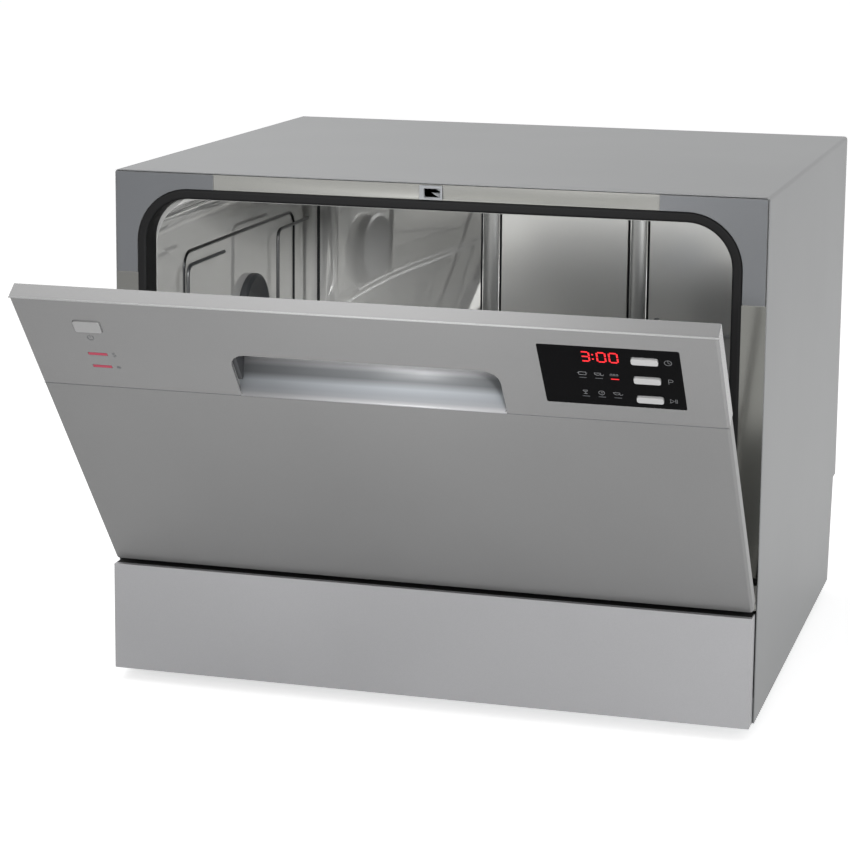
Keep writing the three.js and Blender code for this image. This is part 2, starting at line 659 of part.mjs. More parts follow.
// Service panel: the recessed lower back, which carries the water and power connections
const servicePanelY = [PANEL_BACK + FIT, PANEL_BACK + FIT + SHEET];
const connections = [
  [INLET_X, INLET_RADIUS],
  [SPIGOT_X, SPIGOT_RADIUS],
  [GLAND_X, GLAND_RADIUS],
];
function throughService(x, radius) {
  const profile = [[0, 0], [radius + FIT, 0], [radius + FIT, 10], [0, 10]];
  return turnedAlongY(profile, [x, PANEL_BACK - 5, CONNECTION_Z], 14);
}
function servicePanel() {
  let panel = block([-INSIDE, INSIDE], servicePanelY, [PAN_BOTTOM, RECESS_TOP]);
  for (const [x, radius] of connections) panel = panel.subtract(throughService(x, radius));
  return panel;
}
place(dishwasher, "service_panel", servicePanel(), 0x8a8c8e, 0.5, 0.5);

// Connections: each has a body behind the panel and a spout that stands out of it
function connection(x, radius, [bodyRadius, bodyLength], bore) {
  const length = bodyLength + CONNECTION_REACH;
  const profile = [
    [0, 0],
    [bodyRadius, 0],
    [bodyRadius, bodyLength],
    [radius, bodyLength],
    [radius, length],
    [bore, length],
    [bore, bodyLength - CONNECTION_END_WALL],
    [0, bodyLength - CONNECTION_END_WALL],
  ];
  return turnedAlongY(profile, [x, PANEL_BACK - FIT - bodyLength, CONNECTION_Z], 14);
}
const inletValve = connection(INLET_X, INLET_RADIUS, INLET_BODY, INLET_BORE);
const drainSpigot = connection(SPIGOT_X, SPIGOT_RADIUS, SPIGOT_BODY, SPIGOT_BORE);
const cordGland = connection(GLAND_X, GLAND_RADIUS, GLAND_BODY, GLAND_BORE);
place(dishwasher, "inlet_valve", inletValve, PALE_PLASTIC, 0.5, 0);
place(dishwasher, "drain_spigot", drainSpigot, DARK_PLASTIC, 0.6, 0);
place(dishwasher, "cord_gland", cordGland, DARK_PLASTIC, 0.6, 0);

// Latch: a housing above the channel, whose slotted nose shows in the flange, and a sprung pawl
const housingFloor = SEAL_TOP + FIT + SHEET + FIT;
const pawlY = [3, 3 + PAWL_DEPTH];
const pawlX = [LATCH_SLOT_RIGHT - 1, LATCH_SLOT_RIGHT - 1 + PAWL_LENGTH];
const pawlZ = [LATCH_SLOT_BOTTOM + FIT, LATCH_SLOT_TOP - FIT];
function latchHousing() {
  const bezelY = [-FIT - LATCH_BEZEL_THICKNESS, -FIT];
  const bezel = block([-LATCH_BEZEL_HALF, LATCH_BEZEL_HALF], bezelY, [LATCH_BEZEL_BOTTOM, LATCH_BEZEL_TOP]);
  const neckHalf = LATCH_BEZEL_HALF - FIT;
  const neck = block([-neckHalf, neckHalf], [-FIT, SHEET + FIT], [housingFloor, LATCH_BEZEL_TOP - FIT]);
  const body = block(
    [-LATCH_BODY_HALF, LATCH_BODY_HALF],
    [SHEET + FIT, LATCH_BODY_DEPTH],
    [housingFloor, LATCH_BEZEL_TOP],
  );
  const slot = block(
    [LATCH_SLOT_LEFT, LATCH_SLOT_RIGHT],
    [bezelY[0] - 1, LATCH_SLOT_DEPTH],
    [LATCH_SLOT_BOTTOM, LATCH_SLOT_TOP],
  );
  const well = block(
    [LATCH_SLOT_RIGHT - 1, pawlX[1] + PAWL_TRAVEL + FIT],
    [pawlY[0] - FIT, pawlY[1] + FIT],
    [LATCH_SLOT_BOTTOM, LATCH_SLOT_TOP],
  );
  return joined([bezel, neck, body]).subtract(slot).subtract(well);
}
place(dishwasher, "latch_housing", latchHousing(), 0x55585c, 0.5, 0.1);
const pawlShape = outline([
  [pawlX[0] + 1, pawlY[0]],
  [pawlX[1], pawlY[0]],
  [pawlX[1], pawlY[1]],
  [pawlX[0] + 1, pawlY[1]],
  [pawlX[0], (pawlY[0] + pawlY[1]) / 2],
]);
place(dishwasher, "latch_pawl", alongZ(pawlShape, pawlZ), PALE_PLASTIC, 0.4, 0);

// Hinge brackets: steel ears bolted behind the flange, each with the pin that carries the door
function hingeBracket(side) {
  const ear = new THREE.Shape();
  const r = HINGE_EAR_RADIUS;
  ear.moveTo(HINGE_BRACKET_LENGTH, HINGE_Z + r);
  ear.lineTo(HINGE_Y, HINGE_Z + r);
  ear.absarc(HINGE_Y, HINGE_Z, r, Math.PI / 2, Math.PI * 1.5, false);
  ear.lineTo(HINGE_BRACKET_LENGTH, HINGE_Z - r);
  const plate = alongX(ear, bracketX);
  const pin = disc(HINGE_PIN_RADIUS, INSIDE - FIT - 4 - bracketX[0], 20)
    .rotate([0, 90, 0])
    .translate([bracketX[0], HINGE_Y, HINGE_Z]);
  const bracket = plate.add(pin);
  return side > 0 ? bracket : bracket.mirror([1, 0, 0]);
}
place(dishwasher, "hinge_bracket_left", hingeBracket(-1), 0x9a9c9e, 0.4, 0.9);
place(dishwasher, "hinge_bracket_right", hingeBracket(1), 0x9a9c9e, 0.4, 0.9);

// Sump: a moulded bowl under the hole in the tub floor, with the riser that carries the spray arm
const sumpTop = TUB_FLOOR - SHEET - FIT;
function sumpBowl() {
  const r = SUMP_RADIUS;
  const low = sumpTop - SUMP_DEPTH;
  const profile = [
    [0, low],
    [SUMP_FLOOR_RADIUS, low],
    [r - 2, sumpTop - SUMP_SHOULDER],
    [r - 2, sumpTop - SUMP_WALL],
    [r + SUMP_FLANGE, sumpTop - SUMP_WALL],
    [r + SUMP_FLANGE, sumpTop],
    [r - 2 - SUMP_WALL, sumpTop],
    [r - 2 - SUMP_WALL, sumpTop - SUMP_SHOULDER],
    [SUMP_FLOOR_RADIUS - SUMP_WALL, low + SUMP_WALL],
    [0, low + SUMP_WALL],
  ];
  const riser = turned([
    [RISER_BORE, low + SUMP_WALL - WELD],
    [RISER_RADIUS, low + SUMP_WALL - WELD],
    [RISER_RADIUS, RISER_TOP],
    [RISER_BORE, RISER_TOP],
  ]);
  return turned(profile, 32).add(riser).translate([0, SUMP_Y, 0]);
}
place(dishwasher, "sump", sumpBowl(), DARK_PLASTIC, 0.6, 0);

// Filter plate, the strainer cup that twists into it, and the riser that carries the spray arm
const plateTop = TUB_FLOOR + FIT + FILTER_PLATE_THICKNESS;
function filterPlate() {
  const plate = disc(FILTER_PLATE_RADIUS, FILTER_PLATE_THICKNESS, 40).translate([0, SUMP_Y, TUB_FLOOR + FIT]);
  const hole = (radius, x) => disc(radius + FIT, 10).translate([x, SUMP_Y, TUB_FLOOR - 4]);
  return plate.subtract(hole(RISER_RADIUS, 0)).subtract(hole(STRAINER_RADIUS, STRAINER_X));
}
place(dishwasher, "filter_plate", filterPlate(), STEEL, 0.3, 1);
function strainer() {
  const r = STRAINER_RADIUS;
  const rimZ = plateTop + FIT;
  const profile = [
    [0, rimZ - STRAINER_DEPTH],
    [r, rimZ - STRAINER_DEPTH],
    [r, rimZ],
    [r + STRAINER_RIM, rimZ],
    [r + STRAINER_RIM, rimZ + 2],
    [r - 2, rimZ + 2],
    [r - 2, rimZ - STRAINER_DEPTH + 2],
    [0, rimZ - STRAINER_DEPTH + 2],
  ];
  const cup = turned(profile, 28).translate([STRAINER_X, SUMP_Y, 0]);
  const grip = block(
    [STRAINER_X - r, STRAINER_X + r],
    [SUMP_Y - 2, SUMP_Y + 2],
    [rimZ - 10, rimZ + STRAINER_GRIP_HEIGHT],
  );
  return cup.add(grip);
}
place(dishwasher, "strainer_cup", strainer(), GREY_PLASTIC, 0.5, 0);

// Spray arm: a flat hollow arm with a round hub that drops into the riser's bore
function sprayArm() {
  const low = RISER_TOP + FIT;
  const arm = outline([
    [-ARM_LENGTH, -ARM_TIP_WIDTH / 2],
    [0, -ARM_WIDTH / 2],
    [ARM_LENGTH, -ARM_TIP_WIDTH / 2],
    [ARM_LENGTH, ARM_TIP_WIDTH / 2],
    [0, ARM_WIDTH / 2],
    [-ARM_LENGTH, ARM_TIP_WIDTH / 2],
  ]);
  const plan = rounded([-ARM_LENGTH, ARM_LENGTH], [-ARM_WIDTH, ARM_WIDTH], ARM_END_RADIUS);
  const ends = alongZ(plan, [low, HEIGHT], 4);
  const blade = alongZ(arm, [low, low + ARM_THICKNESS]).intersect(ends);
  const spindle = RISER_BORE - FIT;
  const hubTop = low + ARM_THICKNESS + HUB_RISE;
  const hub = turned([[0, low - SPINDLE_LENGTH], [spindle, low - SPINDLE_LENGTH], [spindle, low],
    [HUB_RADIUS, low], [HUB_RADIUS, hubTop], [0, hubTop]]);
  return blade.add(hub).rotate([0, 0, ARM_REST_ANGLE]).translate([0, SUMP_Y, 0]);
}
place(dishwasher, "spray_arm", sprayArm(), GREY_PLASTIC, 0.45, 0);

// Softener tank under the floor, with its neck through the floor and its screw cap on top
const softenerRim = TUB_FLOOR + SOFTENER_RIM;
function softenerTank() {
  const top = TUB_FLOOR - SHEET - FIT;
  const wall = SOFTENER_WALL;
  const profile = [
    [0, top - SOFTENER_HEIGHT],
    [SOFTENER_RADIUS, top - SOFTENER_HEIGHT],
    [SOFTENER_RADIUS, top],
    [SOFTENER_NECK, top],
    [SOFTENER_NECK, softenerRim],
    [SOFTENER_NECK - wall, softenerRim],
    [SOFTENER_NECK - wall, top - wall],
    [SOFTENER_RADIUS - wall, top - wall],
    [SOFTENER_RADIUS - wall, top - SOFTENER_HEIGHT + wall],
    [0, top - SOFTENER_HEIGHT + wall],
  ];
  return turned(profile, 28).translate([SOFTENER_X, SOFTENER_Y, 0]);
}
place(dishwasher, "softener_tank", softenerTank(), GREY_PLASTIC, 0.5, 0);
function saltCap() {
  const base = softenerRim + FIT;
  const cap = disc(SALT_CAP_RADIUS, SALT_CAP_HEIGHT, 28);
  const plugRadius = SOFTENER_NECK - SOFTENER_WALL - FIT;
  const plug = disc(plugRadius, SALT_PLUG_LENGTH, 28).translate([0, 0, -SALT_PLUG_LENGTH]);
  const gripHalf = SALT_CAP_RADIUS - SALT_CAP_EDGE;
  const gripTop = SALT_CAP_HEIGHT + SALT_GRIP_HEIGHT;
  const grip = block([-gripHalf, gripHalf], centred(0, SALT_GRIP_WIDTH), [SALT_CAP_HEIGHT - 1, gripTop]);
  return joined([cap, plug, grip]).translate([SOFTENER_X, SOFTENER_Y, base]);
}
place(dishwasher, "salt_cap", saltCap(), DARK_PLASTIC, 0.5, 0);

// Overfill float: a bell whose stem slides in the tub floor
function floatBell() {
  const r = FLOAT_RADIUS;
  const base = TUB_FLOOR + FIT;
  const profile = [
    [0, base - FLOAT_STEM_LENGTH],
    [FLOAT_STEM_RADIUS, base - FLOAT_STEM_LENGTH],
    [FLOAT_STEM_RADIUS, base + FLOAT_HEIGHT - FLOAT_WALL],
    [r - FLOAT_WALL, base + FLOAT_HEIGHT - FLOAT_WALL],
    [r - FLOAT_WALL, base],
    [r, base],
    [r, base + FLOAT_HEIGHT - 2],
    [r - 2, base + FLOAT_HEIGHT],
    [0, base + FLOAT_HEIGHT],
  ];
  return turned(profile).translate([FLOAT_X, FLOAT_Y, 0]);
}
place(dishwasher, "float_bell", floatBell(), PALE_PLASTIC, 0.5, 0);

// Breather cap on the tub wall, with the air-break tank that its stem meets behind the wall
function breatherCap() {
  const r = BREATHER_RADIUS;
  const profile = [
    [0, -SHEET - 2 * FIT],
    [BREATHER_STEM, -SHEET - 2 * FIT],
    [BREATHER_STEM, FIT],
    [r, FIT],
    [r, BREATHER_PROUD - 2],
    [r - 3, BREATHER_PROUD],
    [BREATHER_DISH_RADIUS, BREATHER_PROUD - 2],
    [0, BREATHER_PROUD - 2],
  ];
  return turnedAlongX(profile, [-TUB_HALF_WIDTH, BREATHER_Y, BREATHER_Z], 32);
}
place(dishwasher, "breather_cap", breatherCap(), RUBBER, 0.5, 0);
const tankX = [-HALF + SHEET + 2, -TUB_HALF_WIDTH - SHEET - 3 * FIT];
const tankY = [AIR_BREAK_FRONT, AIR_BREAK_REAR];
const tankShape = rounded(tankY, [AIR_BREAK_BOTTOM, AIR_BREAK_TOP], AIR_BREAK_RADIUS);
place(dishwasher, "air_break_tank", alongX(tankShape, tankX, 4), PALE_PLASTIC, 0.5, 0);

// A block under a round unit, standing on the base pan
function saddle(x, y) {
  return block(centred(x, SADDLE_WIDTH), centred(y, SADDLE_WIDTH), [PAN_BOTTOM + SHEET + FIT, PUMP_Z]);
}

// Circulation pump: a volute open towards the sump, with its impeller, its motor behind and the
// flow heater on its outlet
function circulationPump() {
  const r = PUMP_RADIUS;
  const end = PUMP_LENGTH + MOTOR_LENGTH;
  const profile = [
    [PUMP_RADIUS / 2, 0],
    [r, 0],
    [r, PUMP_LENGTH],
    [MOTOR_RADIUS, PUMP_LENGTH],
    [MOTOR_RADIUS, end],
    [0, end],
    [0, PUMP_LENGTH - PUMP_WALL],
    [r - PUMP_WALL, PUMP_LENGTH - PUMP_WALL],
    [r - PUMP_WALL, PUMP_WALL],
    [PUMP_RADIUS / 2, PUMP_WALL],
  ];
  const motorMiddle = PUMP_X + PUMP_LENGTH + MOTOR_LENGTH / 2;
  const pipeStart = PUMP_Y + r - PUMP_WALL * WELD;
  const reach = HEATER_Y - pipeStart;
  const pipeProfile = [[0, 0], [OUTLET_RADIUS, 0], [OUTLET_RADIUS, reach], [0, reach]];
  const pipe = turnedAlongY(pipeProfile, [PUMP_X + PUMP_LENGTH / 2, pipeStart, PUMP_Z], 16);
  const heaterProfile = [[0, 0], [HEATER_RADIUS, 0], [HEATER_RADIUS, HEATER_LENGTH], [0, HEATER_LENGTH]];
  const heater = turnedAlongX(heaterProfile, [PUMP_X, HEATER_Y, PUMP_Z], 20);
  return joined([
    turnedAlongX(profile, [PUMP_X, PUMP_Y, PUMP_Z], 24),
    saddle(motorMiddle, PUMP_Y),
    pipe,
    heater,
    saddle(PUMP_X + HEATER_LENGTH / 2, HEATER_Y),
  ]);
}
place(dishwasher, "circulation_pump", circulationPump(), DARK_PLASTIC, 0.5, 0.2);
function impeller() {
  const width = PUMP_LENGTH - 2 * PUMP_WALL - 2;
  let wheel = disc(IMPELLER_RADIUS, 3, 24).add(disc(6, width, 16));
  for (let i = 0; i < 6; i++)
    wheel = wheel.add(block([5, IMPELLER_RADIUS - 1], [-1, 1], [2, width]).rotate([0, 0, i * 60]));
  return wheel.rotate([0, -90, 0]).translate([PUMP_X + PUMP_LENGTH - PUMP_WALL - FIT, PUMP_Y, PUMP_Z]);
}
place(dishwasher, "pump_impeller", impeller(), PALE_PLASTIC, 0.5, 0);

// Drain pump: a closed unit beside the sump
const drainProfile = [[0, 0], [DRAIN_RADIUS, 0], [DRAIN_RADIUS, DRAIN_LENGTH], [0, DRAIN_LENGTH]];
const drainPump = turnedAlongX(drainProfile, [DRAIN_X - DRAIN_LENGTH / 2, DRAIN_Y, PUMP_Z], 20);
place(dishwasher, "drain_pump", drainPump.add(saddle(DRAIN_X, DRAIN_Y)), DARK_PLASTIC, 0.5, 0.2);

// Door panel: a folded steel pan with chamfered side edges, open at the back
function chamferedPlan(half, back, chamfer) {
  return outline([
    [-half, back],
    [-half, DOOR_FRONT + chamfer],
    [-half + chamfer, DOOR_FRONT],
    [half - chamfer, DOOR_FRONT],
    [half, DOOR_FRONT + chamfer],
    [half, back],
  ]);
}
function doorPanel() {
  const top = CONSOLE_SPLIT - FIT;
  const outside = alongZ(chamferedPlan(DOOR_HALF, DOOR_BACK, DOOR_CHAMFER), [DOOR_BOTTOM, top]);
  const hollow = alongZ(
    outline([
      [-DOOR_HALF + SHEET, DOOR_BACK + 1],
      [-DOOR_HALF + SHEET, DOOR_FRONT + SHEET + DOOR_CHAMFER],
      [-DOOR_HALF + SHEET + DOOR_CHAMFER, DOOR_FRONT + SHEET],
      [DOOR_HALF - SHEET - DOOR_CHAMFER, DOOR_FRONT + SHEET],
      [DOOR_HALF - SHEET, DOOR_FRONT + SHEET + DOOR_CHAMFER],
      [DOOR_HALF - SHEET, DOOR_BACK + 1],
    ]),
    [DOOR_BOTTOM + SHEET, top + 1],
  );
  let pan = outside.subtract(hollow);
  for (const side of [-1, 1]) {
    const across = [bracketX[0] - 2, DOOR_HALF - SHEET].map((x) => x * side).sort((a, b) => a - b);
    const slot = [DOOR_BOTTOM - 1, DOOR_BOTTOM + HINGE_PLATE];
    pan = pan.subtract(block(across, [DOOR_FRONT + SHEET, DOOR_BACK + 1], slot));
  }
  return pan;
}
place(door, "door_panel", doorPanel(), 0x8a8b89, 0.35, 0.6);

// Console: the moulded upper front, with its top lip and the holes for handle, window and lights
function throughConsole(u, v, radii) {
  return alongY(rounded(u, v, radii), [DOOR_FRONT - 1, SKIN_BACK + 1], 2);
}
const handleRadii = [3, 3, HANDLE_RADIUS, HANDLE_RADIUS];
function consoleCover() {
  const back = DOOR_FRONT + CONSOLE_TOP_DEPTH;
  const outside = alongZ(chamferedPlan(DOOR_HALF, back, DOOR_CHAMFER), [CONSOLE_SPLIT, HEIGHT]);
  const hollow = block(
    [-DOOR_HALF + CONSOLE_WALL, DOOR_HALF - CONSOLE_WALL],
    [SKIN_BACK, back + 1],
    [CONSOLE_SPLIT - 1, HEIGHT - CONSOLE_WALL],
  );
  let cover = outside.subtract(hollow);
  const handle = [[HANDLE_LEFT, HANDLE_RIGHT], [HANDLE_BOTTOM, HANDLE_TOP]];
  const window = [[WINDOW_LEFT, WINDOW_RIGHT], [WINDOW_BOTTOM, WINDOW_TOP]];
  cover = cover.subtract(throughConsole(...handle, handleRadii));
  cover = cover.subtract(throughConsole(...window, WINDOW_RADIUS));
  const power = [centred(POWER_X, POWER_WIDTH + 2 * FIT), centred(POWER_Z, POWER_HEIGHT + 2 * FIT)];
  cover = cover.subtract(throughConsole(...power, BUTTON_RADIUS));
  for (const z of LIGHT_HEIGHTS) {
    const light = [centred(LIGHT_X, LIGHT_WIDTH + 2 * FIT), centred(z, LIGHT_HEIGHT + 2 * FIT)];
    cover = cover.subtract(throughConsole(...light, 0));
  }
  return cover;
}
place(door, "console", consoleCover(), 0x969796, 0.4, 0.3);

// Handle cup: a scoop behind the console, deep under its top edge and rising to a lip below
function handleCup() {
  const front = SKIN_BACK + FIT;
  const deep = DOOR_FRONT + HANDLE_DEPTH;
  const wall = HANDLE_WALL;
  const shell = block(
    [HANDLE_LEFT - wall, HANDLE_RIGHT + wall],
    [front, deep + wall],
    [HANDLE_BOTTOM - wall, HANDLE_TOP + wall],
  );
  const scoop = new THREE.Shape();
  scoop.moveTo(front - 1, HANDLE_BOTTOM);
  scoop.lineTo(front - 1, HANDLE_TOP);
  scoop.lineTo(deep, HANDLE_TOP);
  scoop.lineTo(deep, HANDLE_TOP - HANDLE_BACK_HEIGHT);
  scoop.quadraticCurveTo(deep, HANDLE_BOTTOM + HANDLE_SWEEP, front + HANDLE_LIP_DEPTH, HANDLE_BOTTOM);
  const mouth = rounded([HANDLE_LEFT, HANDLE_RIGHT], [HANDLE_BOTTOM, HANDLE_TOP], handleRadii);
  const sweep = alongX(scoop, [HANDLE_LEFT, HANDLE_RIGHT], 8);
  const hollow = sweep.intersect(alongY(mouth, [front - 2, deep + 1], 5));
  return shell.subtract(hollow);
}
place(door, "handle_cup", handleCup(), 0x6d6f70, 0.45, 0.2);

// Display window: a gloss plate that fills its hole in the console, pierced for the buttons
function displayWindow() {
  const u = [WINDOW_LEFT + FIT, WINDOW_RIGHT - FIT];
  const v = [WINDOW_BOTTOM + FIT, WINDOW_TOP - FIT];
  let plate = alongY(rounded(u, v, WINDOW_RADIUS), [DOOR_FRONT, SKIN_BACK], 2);
  for (const z of BUTTON_HEIGHTS)
    plate = plate.subtract(throughConsole(centred(BUTTON_X, BUTTON_WIDTH + 2 * FIT),
      centred(z, BUTTON_HEIGHT + 2 * FIT), BUTTON_RADIUS));
  return plate;
}
place(door, "display_window", displayWindow(), BLACK_GLOSS, 0.12, 0);

// Push buttons: caps that stand out of their holes, held in by a flange behind the skin
function pushButton(x, z, width, height) {
  const flangeY = [SKIN_BACK + FIT, SKIN_BACK + FIT + BUTTON_FLANGE_THICKNESS];
  const cap = alongY(rounded(centred(x, width), centred(z, height), BUTTON_RADIUS),
    [DOOR_FRONT - BUTTON_PROUD, flangeY[1]], 2);
  const [wide, high] = [width + 2 * BUTTON_FLANGE, height + 2 * BUTTON_FLANGE];
  return cap.add(block(centred(x, wide), flangeY, centred(z, high)));
}
BUTTON_HEIGHTS.forEach((z, i) =>
  place(door, BUTTON_NAMES[i], pushButton(BUTTON_X, z, BUTTON_WIDTH, BUTTON_HEIGHT), PALE_PLASTIC, 0.4, 0));
place(door, "power_button", pushButton(POWER_X, POWER_Z, POWER_WIDTH, POWER_HEIGHT), 0x9b9c9c, 0.4, 0.3);

// Light guide: two clear red bars on a backing strip
function lightGuide() {
  const back = [SKIN_BACK + FIT, SKIN_BACK + FIT + LIGHT_STRIP_THICKNESS];
  const strip = block(centred(LIGHT_X, LIGHT_WIDTH + 2 * LIGHT_STRIP_MARGIN), back,
    [LIGHT_HEIGHTS[1] - LIGHT_STRIP_MARGIN, LIGHT_HEIGHTS[0] + LIGHT_STRIP_MARGIN]);
  const bars = LIGHT_HEIGHTS.map((z) =>
    block(centred(LIGHT_X, LIGHT_WIDTH), [DOOR_FRONT, back[0] + WELD], centred(z, LIGHT_HEIGHT)));
  return joined([strip, ...bars]);
}
place(door, "light_guide", lightGuide(), 0xd4506a, 0.3, 0);

// Door liner: a pressed steel inner skin whose raised field fills the seal when the door is shut
const linerTop = HEIGHT - CONSOLE_WALL - FIT;
const dispenserBody = [
  [CUP_LEFT - DISPENSER_BODY_SIDE, DISPENSER_RIGHT - DISPENSER_BODY_INSET],
  [DISPENSER_BOTTOM + DISPENSER_BODY_INSET, DISPENSER_TOP - DISPENSER_BODY_INSET],
];
function doorLiner() {
  const edge = DOOR_HALF - CONSOLE_WALL - FIT;
  const flange = block([-edge, edge], [LINER_FRONT, DOOR_BACK], [LINER_BOTTOM, linerTop]);
  const r = LINER_FIELD_RADIUS;
  const bottom = LINER_BOTTOM;
  const field = (inset) => rounded([-FIELD_HALF + inset, FIELD_HALF - inset],
    [bottom + inset, FIELD_TOP - inset], [4, 4, r - inset, r - inset]);
  const raised = alongY(field(0), [LINER_FRONT, LINER_FACE], 5);
  const hollow = alongY(field(SHEET), [LINER_FRONT - 1, LINER_FACE - SHEET], 5);
  const [u, v] = dispenserBody;
  const opening = block([u[0] - FIT, u[1] + FIT], [LINER_FRONT, LINER_FACE + 1], [v[0] - FIT, v[1] + FIT]);
  return flange.add(raised).subtract(hollow).subtract(opening);
}
place(door, "door_liner", doorLiner(), STEEL, 0.25, 1);

// Detergent dispenser: its body drops through the liner, with a face plate that guides the cover
const cupZ = [dispenserBody[1][0] + CUP_MARGIN, dispenserBody[1][1] - CUP_MARGIN];
function dispenser() {
  const faceX = [DISPENSER_LEFT, DISPENSER_RIGHT];
  const face = block(faceX, [LINER_FACE + FIT, FACE_PLATE], [DISPENSER_BOTTOM, DISPENSER_TOP]);
  const [u, v] = dispenserBody;
  const body = block(u, [FACE_PLATE - DISPENSER_DEPTH, LINER_FACE + FIT + 0.5], v);
  const cupFloor = FACE_PLATE - DISPENSER_DEPTH + DISPENSER_WALL;
  const cup = block([CUP_LEFT, CUP_RIGHT], [cupFloor, FACE_PLATE + 1], cupZ);
  const bore = [[0, 0], [RINSE_BORE + FIT, 0], [RINSE_BORE + FIT, 12], [0, 12]];
  const hole = turnedAlongY(bore, [RINSE_X, FACE_PLATE - 10, (v[0] + v[1]) / 2]);
  return face.add(body).subtract(cup).subtract(hole);
}
place(door, "dispenser_body", dispenser(), PALE_PLASTIC, 0.5, 0);
function dispenserCover() {
  const y = [FACE_PLATE + FIT, FACE_PLATE + FIT + COVER_THICKNESS];
  const u = [CUP_LEFT - COVER_OVERLAP, CUP_RIGHT + COVER_OVERLAP];
  const v = [cupZ[0] - COVER_OVERLAP, cupZ[1] + COVER_OVERLAP];
  return alongY(rounded(u, v, 4), y, 3);
}
place(door, "dispenser_cover", dispenserCover(), GREY_PLASTIC, 0.45, 0);
function rinseCap() {
  const profile = [
    [0, -8],
    [RINSE_BORE, -8],
    [RINSE_BORE, FIT],
    [RINSE_RADIUS, FIT],
    [RINSE_RADIUS, RINSE_HEIGHT - 1],
    [RINSE_RADIUS - 1, RINSE_HEIGHT],
    [0, RINSE_HEIGHT],
  ];
  const [, v] = dispenserBody;
  const centre = [RINSE_X, FACE_PLATE, (v[0] + v[1]) / 2];
  const grip = block(centred(RINSE_X, 2 * RINSE_RADIUS - 8),
    [FACE_PLATE + RINSE_HEIGHT - 1, FACE_PLATE + RINSE_HEIGHT + 2], centred(centre[2], 4));
  return turnedAlongY(profile, centre).add(grip);
}
place(door, "rinse_aid_cap", rinseCap(), 0x3f6fa5, 0.4, 0);

// Latch tongue on the inside of the door top
function latchTongue() {
  const x = centred((LATCH_SLOT_LEFT + LATCH_SLOT_RIGHT) / 2 - 0.8, TONGUE_WIDTH);
  const z = [LATCH_SLOT_BOTTOM + 1, LATCH_SLOT_BOTTOM + 1 + TONGUE_THICKNESS];
  const y = [DOOR_BACK + FIT, DOOR_BACK + FIT + TONGUE_LENGTH];
  const base = block([x[0] - 8, x[1] + 8], [y[0], y[0] + 1], [z[0] - 3, z[1] + 1.5]);
  return block(x, y, z).add(base);
}
place(door, "latch_tongue", latchTongue(), 0x9a9c9e, 0.4, 0.8);

// Hinge arms: steel straps inside the door, each with an eye that turns on its bracket's pin
function hingeArm(side) {
  const x = [bracketX[1] + FIT + 0.5, bracketX[1] + FIT + 0.5 + HINGE_PLATE + 1];
  const back = LINER_FRONT - FIT;
  const strap = new THREE.Shape();
  strap.absarc(HINGE_Y, HINGE_Z, HINGE_EAR_RADIUS, Math.PI, 0, false);
  strap.lineTo(back, HINGE_Z);
  strap.lineTo(back, HINGE_Z + HINGE_ARM_HEIGHT);
  strap.lineTo(HINGE_Y - HINGE_EAR_RADIUS, HINGE_Z + HINGE_ARM_HEIGHT);
  const eye = disc(HINGE_PIN_RADIUS + FIT, 20, 20).rotate([0, 90, 0]).translate([x[0] - 5, HINGE_Y, HINGE_Z]);
  const arm = alongX(strap, x, 8).subtract(eye);
  return side > 0 ? arm : arm.mirror([1, 0, 0]);
}
place(door, "hinge_arm_left", hingeArm(-1), 0x9a9c9e, 0.4, 0.9);
place(door, "hinge_arm_right", hingeArm(1), 0x9a9c9e, 0.4, 0.9);

// Basket wires: straight square bars, named by the two coordinates of their centre line
const half = WIRE / 2;
const lap = WIRE - WELD;
const wireX = (x, y, z) => block(x, centred(y, WIRE), centred(z, WIRE));
const wireY = (x, y, z) => block(centred(x, WIRE), y, centred(z, WIRE));
const wireZ = (x, y, z, width = WIRE) => block(centred(x, width), centred(y, width), z);
function evenly(from, to, count) {
  return Array.from({ length: count }, (_, i) => from + ((to - from) * i) / (count - 1));
}
const rollerPlaces = [BASKET_FRONT + ROLLER_INSET, BASKET_REAR - ROLLER_INSET];

// Dish basket: a floor net, a ring of wall nets and two rows of plate tines, which clip together.
// Long wires are welded over cross wires, and the uprights and tines are thinner.
const floorHalf = BASKET_HALF_WIDTH - WELD - FIT;
const columns = evenly(-floorHalf, floorHalf, FLOOR_WIRES);
const rows = evenly(BASKET_FRONT, BASKET_REAR, CROSS_WIRES);
const alongBasket = [BASKET_FRONT - half - WELD, BASKET_REAR + half + WELD];
function basketFloor() {
  const acrossX = [-floorHalf - half - WELD, floorHalf + half + WELD];
  const long = columns.filter((_, i) => !TINE_COLUMNS.includes(i));
  const wires = long.map((x) => wireY(x, alongBasket, BASKET_FLOOR));
  wires.push(...rows.map((y) => wireX(acrossX, y, BASKET_FLOOR - lap)));
  return joined(wires);
}
place(basket, "basket_floor", basketFloor(), GREY_PLASTIC, 0.5, 0);

